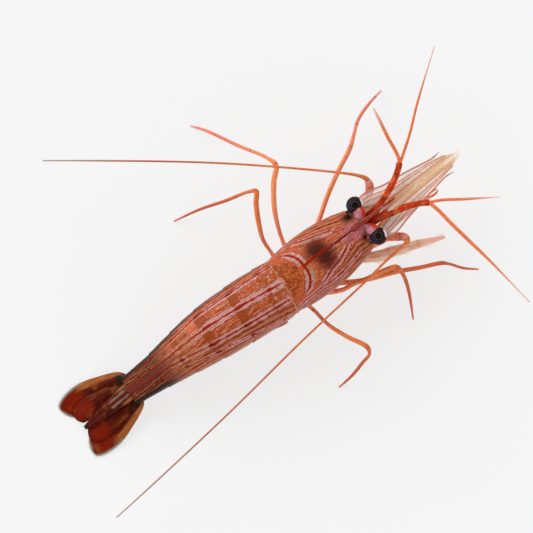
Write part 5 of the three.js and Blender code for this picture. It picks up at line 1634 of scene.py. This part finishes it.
@dataclass(frozen=True)
class Scales:
    """The flat blade beside each antenna: clear, with a stiff outer rib that ends in a tooth."""

    blades: Pair = (
        ((16.5, 3.0, 9.35, 0.7, 0.27), (18.4, 2.75, 9.3, 1.25, 0.26), (21.5, 2.0, 9.3, 1.25, 0.26),
         (25.5, 1.75, 9.35, 0.98, 0.26), (29.5, 1.4, 9.45, 0.62, 0.25), (31.6, 1.1, 9.5, 0.32, 0.2)),
        ((16.5, -3.0, 9.35, 0.7, 0.27), (18.4, -2.75, 9.3, 1.2, 0.26), (21.5, -2.05, 9.3, 1.2, 0.26),
         (25.5, -1.55, 9.35, 0.95, 0.26), (29.5, -1.15, 9.45, 0.62, 0.25), (31.7, -0.95, 9.5, 0.32, 0.2)))
    tooth: Rows = ((31.2, 1.95, 9.55), (31.2, -1.8, 9.55))

    def build(self, bench: Bench) -> None:
        """Makes each blade of a firm inner part, a clear membrane and an outer rib, then the fringe.

        Args:
            bench: where pieces are made.
        """
        fringe = Skin()
        for (side, word), rows, tooth in zip(SIDES.items(), self.blades, self.tooth):
            firm = tuple((x, y - side * 0.3 * w, z, w * 0.66, t) for x, y, z, w, t in rows)
            blade = Blade(firm, thin=0.4, ridges=((-0.1, 0.07, 0.1), (0.4, 0.04, 0.08)))
            grid, fields, centre = blade.grid()
            width = np.maximum(fields["width"], 0.05)
            outward = fields["across"] * side / width
            rims, vein = np.abs(np.abs(outward) - 0.92) * width, np.abs(outward - 0.2) * width
            fields["red"] = np.minimum(rims - 0.1, vein - 0.05)
            skin = Skin().tube(grid, **fields)
            rib = [(x, y + side * (w - 0.12), z + 0.04, 0.13) for x, y, z, w, _ in rows[:-1]]
            Limb((*rib, (*tooth, 0.04)), step=0.15, sides=10, swell=0).grow(skin)
            skin.fields[-1]["red"] = np.full(len(skin.points[-1]), -0.2)
            skin.fields[-1]["tip"] = smoothstep(0.88, 0.96, skin.fields[-1]["share"])
            bench.piece(f"scale_blade_{word}", skin, SCALE, "scale", f"antennal_scale_{word}")
            film = Skin().tube(Blade(rows, thin=0.2).grid()[0])
            bench.piece(f"scale_membrane_{word}", film, MEMBRANE, "scale")
            self.setae(fringe, grid, centre, side)
        bench.piece("scale_fringe", fringe, FRINGE, "scale")

    def setae(self, fringe: Skin, grid: Array, centre: Array, side: int) -> None:
        """Roots fine hairs along the inner margin and round the tip.

        Args:
            fringe: the skin that gathers them.
            grid: the blade's points.
            centre: the middle of each row.
            side: LEFT or RIGHT.
        """
        middle = len(grid) // 2
        inward = (grid[middle, 0, 1] - centre[middle, 1]) * side < 0
        edge = grid[:, 0 if inward else grid.shape[1] // 2]
        run = run_along(edge)
        even = np.arange(0.06 * run[-1], run[-1], 0.075)
        roots = read_off(even, run, edge)
        share = (even / run[-1])[:, None]
        lean = unit(np.concatenate([0.75 + 0.6 * share, -side * (1.0 - 0.6 * share), 0 * share], axis=1))
        length = 1.75 + 0.5 * np.sin(np.pi * share) + 0.3 * smoothstep(0.8, 1.0, share)
        length = length + 0.6 * smoothstep(0.25, 0.1, share)
        curl = np.array([[0.35, 0.0, 0.0]])
        fringe.strands(roots, lean * length, curl, 0.03, share[:, 0], 0.5 + 0.25 * side)


@dataclass(frozen=True)
class Mouthparts:
    """The third maxillipeds, thick and hairy, and the smaller parts between them."""

    limbs: Pair = (
        ((10.6, 1.9, 4.7, 0.6), (12.4, 2.4, 4.7, 0.75), (15.0, 2.7, 5.0, 0.8), (18.5, 2.7, 5.6, 0.66),
         (22.0, 2.5, 6.2, 0.5), (25.2, 2.3, 6.6, 0.22)),
        ((10.6, -1.9, 4.7, 0.6), (12.4, -3.2, 4.7, 0.75), (14.6, -4.5, 4.9, 0.85), (17.2, -5.5, 5.3, 0.8),
         (20.4, -6.8, 5.7, 0.62), (24.2, -8.4, 6.0, 0.26)))
    core: Rows = (
        (12.0, 0, 5.3, 1.5, 1.15), (13.6, 0, 5.6, 1.45, 1.15), (15.0, 0, 6.1, 1.0, 0.8),
        (15.9, 0, 6.4, 0.5, 0.4))
    leaves: tuple[Rows, ...] = (
        ((12.6, 0.8, 4.9, 0.4), (13.8, 1.1, 4.4, 0.42), (15.2, 1.0, 4.8, 0.3), (16.2, 0.75, 5.4, 0.12)),
        ((12.8, 0.4, 5.2, 0.35), (14.4, 0.7, 5.0, 0.36), (15.6, 0.6, 5.5, 0.26), (16.3, 0.4, 6.0, 0.1)),
        ((13.4, 1.1, 6.0, 0.35), (14.8, 1.35, 6.0, 0.3), (16.0, 1.2, 6.6, 0.22), (16.8, 0.9, 7.2, 0.08)))

    def build(self, bench: Bench) -> None:
        """Makes the mouth's core with its leaves, the two maxillipeds and their setae.

        Args:
            bench: where pieces are made.
        """
        grid, fields, _ = Blade(self.core, thin=1.0, sides=40, squareness=2.6).grid()
        mouth = Skin().tube(grid, joint=NO_JOINT, share=fields["share"])
        for rows in self.leaves:
            for side in SIDES:
                Limb(on_side(rows, side), (1.0,), step=0.1).grow(mouth)
        bench.piece("mouth_cluster", mouth, UNDERSIDE, "underside", "mouthparts")
        setae, whorls, lanes = Skin(), 46, 5
        for (side, word), rows in zip(SIDES.items(), self.limbs):
            limb = Limb(rows, (1.0, 2.6, 4.0), sides=20, swell=0.05, groove=0.04).grow(Skin())
            bench.piece(f"maxilliped_{word}", limb, MAXILLIPED, "leg", f"maxilliped_3_{word}")
            route = Route.of(rows)
            u = np.repeat(np.linspace(0.3, 0.97, whorls), lanes)
            along, right, top = route.frames(u)
            turn = np.tile(np.linspace(0.15, 0.85, lanes) * np.pi, whorls)
            turn = turn + np.repeat(np.arange(whorls), lanes) * 0.37
            way = right * np.cos(turn)[:, None] * side - top * np.abs(np.sin(turn))[:, None]
            size = route.size(u)[0]
            travel = unit(way + along * 0.8) * (0.5 + 0.25 * np.sin(u * 40)[:, None])
            lane = 0.5 + side * (0.05 + 0.08 * np.tile(np.arange(lanes), whorls))
            setae.strands(route.point(u) + way * size * 0.9, travel, along * 0.2, 0.022, u, lane)
        bench.piece("mouth_setae", setae, FRINGE, "leg")


@dataclass(frozen=True)
class Swimmerets:
    """Five pairs of paddles under the abdomen, each a stem and two leaves."""

    along: float = 0.55
    spread: float = 0.4
    shrink: float = 0.09
    belly: float = 0.72
    stem: tuple[float, float] = (1.6, 0.4)
    leaf: tuple[float, float, float, float] = (3.3, 1.9, 1.3, 0.82)
    rows: Rows = (
        (0.5, 0, 9.55, 4.3, 3.95), (-2.7, 0.25, 9.7, 4.5, 4.1), (-6.7, 0.6, 9.65, 4.5, 4.15),
        (-12.3, 1.1, 8.9, 4.25, 4.1), (-17.2, 1.5, 7.3, 3.65, 3.5), (-21.8, 1.9, 5.25, 2.9, 2.7),
        (-28.0, 2.45, 3.0, 2.25, 1.45))

    def build(self, bench: Bench) -> None:
        """Hangs each paddle from the belly, which lies 0.72 h (1 - s^3.2)^(1/3.2) below the middle.

        Args:
            bench: where pieces are made.
        """
        route = Route.of(self.rows)
        fringe = Skin()
        for index in range(5):
            u = np.array([(index + self.along) / 6])
            origin = route.point(u)[0]
            width, height = (size[0, 0] for size in route.size(u))
            scale = 1 - self.shrink * max(0, index - 1)
            drop = height * self.belly * (1 - self.spread**3.2) ** (1 / 3.2)
            for side, word in SIDES.items():
                top = origin + (0, side * width * self.spread, -drop + 0.15)
                knee = top + np.array([-self.stem[1], 0, -self.stem[0] - 0.45]) * (1, 1, scale)
                run = np.array([-self.leaf[1], 0, -self.leaf[0]]) * scale
                out = np.array([0, side * self.leaf[2] * scale, 0])
                wide = self.leaf[3] * scale
                stem = ((*top, 0.5), (*(top + (0, 0, -0.3)), 0.48), (*knee, 0.36))
                skin = Limb(stem).grow(Skin())
                inner = ((*knee, 0.2, 0.3), (*(knee + run * 0.25), wide * 0.8, 0.3),
                         (*(knee + run * 0.55), wide, 0.25), (*(knee + run), 0.2, 0.15))
                outer = ((*knee, 0.2, 0.3), (*(knee + run * 0.2 + out * 0.45), wide * 0.6, 0.3),
                         (*(knee + run * 0.5 + out * 0.85), wide * 0.85, 0.25),
                         (*(knee + run * 0.9 + out), 0.2, 0.15))
                for leaf, rows in enumerate((inner, outer)):
                    grid, fields, centre = Blade(rows, thin=0.5, sides=24, upright=False).grid()
                    skin.tube(grid, joint=NO_JOINT, share=fields["share"])
                    for edge, column in enumerate((0, 12)):
                        roots = grid[4:-1, column]
                        reach = np.clip((roots[:, 2:] - 0.05) / 0.9, 0, 1)  # none touches the floor
                        travel = unit(roots - centre[4:-1] + run * 0.2) * 0.5 * scale * reach
                        row = index * 8 + (side > 0) * 4 + leaf * 2 + edge  # of 40
                        fringe.strands(roots, travel, run * 0.08 * reach, 0.02,
                                       np.linspace(0, 1, len(roots)), (row + 0.5) / 40)
                name = f"swimmeret_{index + 1}_{word}"
                bench.piece(f"paddle_{index + 1}_{word}", skin, UNDERSIDE, "leg", name)
        bench.piece("paddle_setae", fringe, FRINGE, "leg")


# ---- Stage ----


@dataclass(frozen=True)
class Stage:
    """A pale floor, soft light from above and the camera."""

    look: tuple[float, float, float] = (-0.16, 4.24, 8.0)
    tilt: float = 9.0
    roll: float = 37.2
    frame_width: float = 81.016  # mm across the view at the look point
    lens: float = 400.0
    sensor: float = 36.0
    floor: float = 2.0  # metres from its middle to each edge
    lamp_way: tuple[float, float, float] = (-0.3, 1.2, 0.75)
    lamp_strength: float = 1.45  # watts on each square metre that faces it

    def build(self, bench: Bench) -> None:
        """Makes the floor, the world, the lamp and the camera.

        Args:
            bench: where pieces are made.
        """
        scene = bpy.context.scene
        scene.view_settings.view_transform = "Standard"
        mesh = bpy.data.meshes.new("floor")
        reach = self.floor
        corners = [(-reach, -reach, 0), (reach, -reach, 0), (reach, reach, 0), (-reach, reach, 0)]
        mesh.from_pydata(corners, [], [range(4)])
        floor = put("floor", mesh)
        paper = bpy.data.materials.new("white_paper_floor")
        tree = cleared(paper)
        # half of its light comes from below, as on a light table, so that shadows stay faint
        shader = add_node(tree, "BsdfPrincipled", {
            "Base Color": linear("#808080"), "Roughness": 1.0, "Specular IOR Level": 0.0,
            "Emission Color": (1, 1, 1, 1), "Emission Strength": 0.69})
        add_node(tree, "OutputMaterial", {"Surface": shader.outputs[0]})
        mesh.materials.append(paper)
        scene.world = bpy.data.worlds.new("studio")
        tree = cleared(scene.world)
        # a ring of white card round a dark gap overhead, which keeps the gloss from veiling the colours
        way = add_node(tree, "TexCoord").outputs["Generated"]
        rise = add_node(tree, "SeparateXYZ", {0: way}).outputs["Z"]
        card = add_node(tree, "MapRange", {"Value": rise, 1: 0.75, 2: 0.95, 3: 1.12, 4: 0.1})
        sky = add_node(tree, "Background", {"Color": (1, 1, 1, 1), "Strength": card.outputs[0]})
        add_node(tree, "OutputWorld", {"Surface": sky.outputs[0]})
        self.lamp()
        self.camera(bench)

    def lamp(self) -> None:
        """Hangs a wide soft lamp, far off."""
        data = bpy.data.lights.new("overhead", "SUN")
        data.angle, data.energy = 0.9, self.lamp_strength
        lamp = put("overhead", data)
        back = unit(np.array(self.lamp_way))
        right = unit(np.cross(UP, back))
        lamp.matrix_world = self.pose(right, np.cross(back, right), back, back * 0.5)

    @staticmethod
    def pose(right: Array, top: Array, back: Array, place: Array) -> Matrix:
        """The matrix whose columns are three directions and a place."""
        columns = np.stack([right, top, back, place], axis=1)
        return Matrix(np.vstack([columns, (0, 0, 0, 1)]).tolist())

    def camera(self, bench: Bench) -> None:
        """Sets the camera straight back from the look point.

        Its back direction is (0, -sin tilt, cos tilt) and it is rolled about that line; it stands at
        lens / sensor times the frame's width, so that the frame takes in that width at the look point.

        Args:
            bench: which knows where the look point is.
        """
        tilt, roll = np.radians(self.tilt), np.radians(self.roll)
        back = np.array([0, -np.sin(tilt), np.cos(tilt)])
        level, rise = np.array([1.0, 0, 0]), np.array([0, np.cos(tilt), np.sin(tilt)])
        right = np.cos(roll) * level - np.sin(roll) * rise
        top = np.sin(roll) * level + np.cos(roll) * rise
        distance = self.frame_width * self.lens / self.sensor * MM
        data = bpy.data.cameras.new("camera")
        data.lens, data.sensor_width, data.clip_start, data.clip_end = self.lens, self.sensor, 0.05, 10
        camera = put("camera", data)
        place = bench.metres(np.array(self.look)) + back * distance
        camera.matrix_world = self.pose(right, top, back, place)
        bpy.context.scene.camera = camera


def main() -> None:
    logging.basicConfig(level=logging.INFO, format="%(name)s: %(message)s")
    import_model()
    bench = Bench.from_frame()
    Stage().build(bench)
    carapace = Carapace()
    carapace.build(bench)
    Rostrum().build(bench, carapace)
    Abdomen().build(bench)
    Flesh().build(bench)
    TailFan().build(bench)
    Eyes().build(bench)
    Feelers().build(bench)
    Scales().build(bench)
    Legs().build(bench)
    Mouthparts().build(bench)
    Swimmerets().build(bench)


if __name__ == "__main__":
    main()
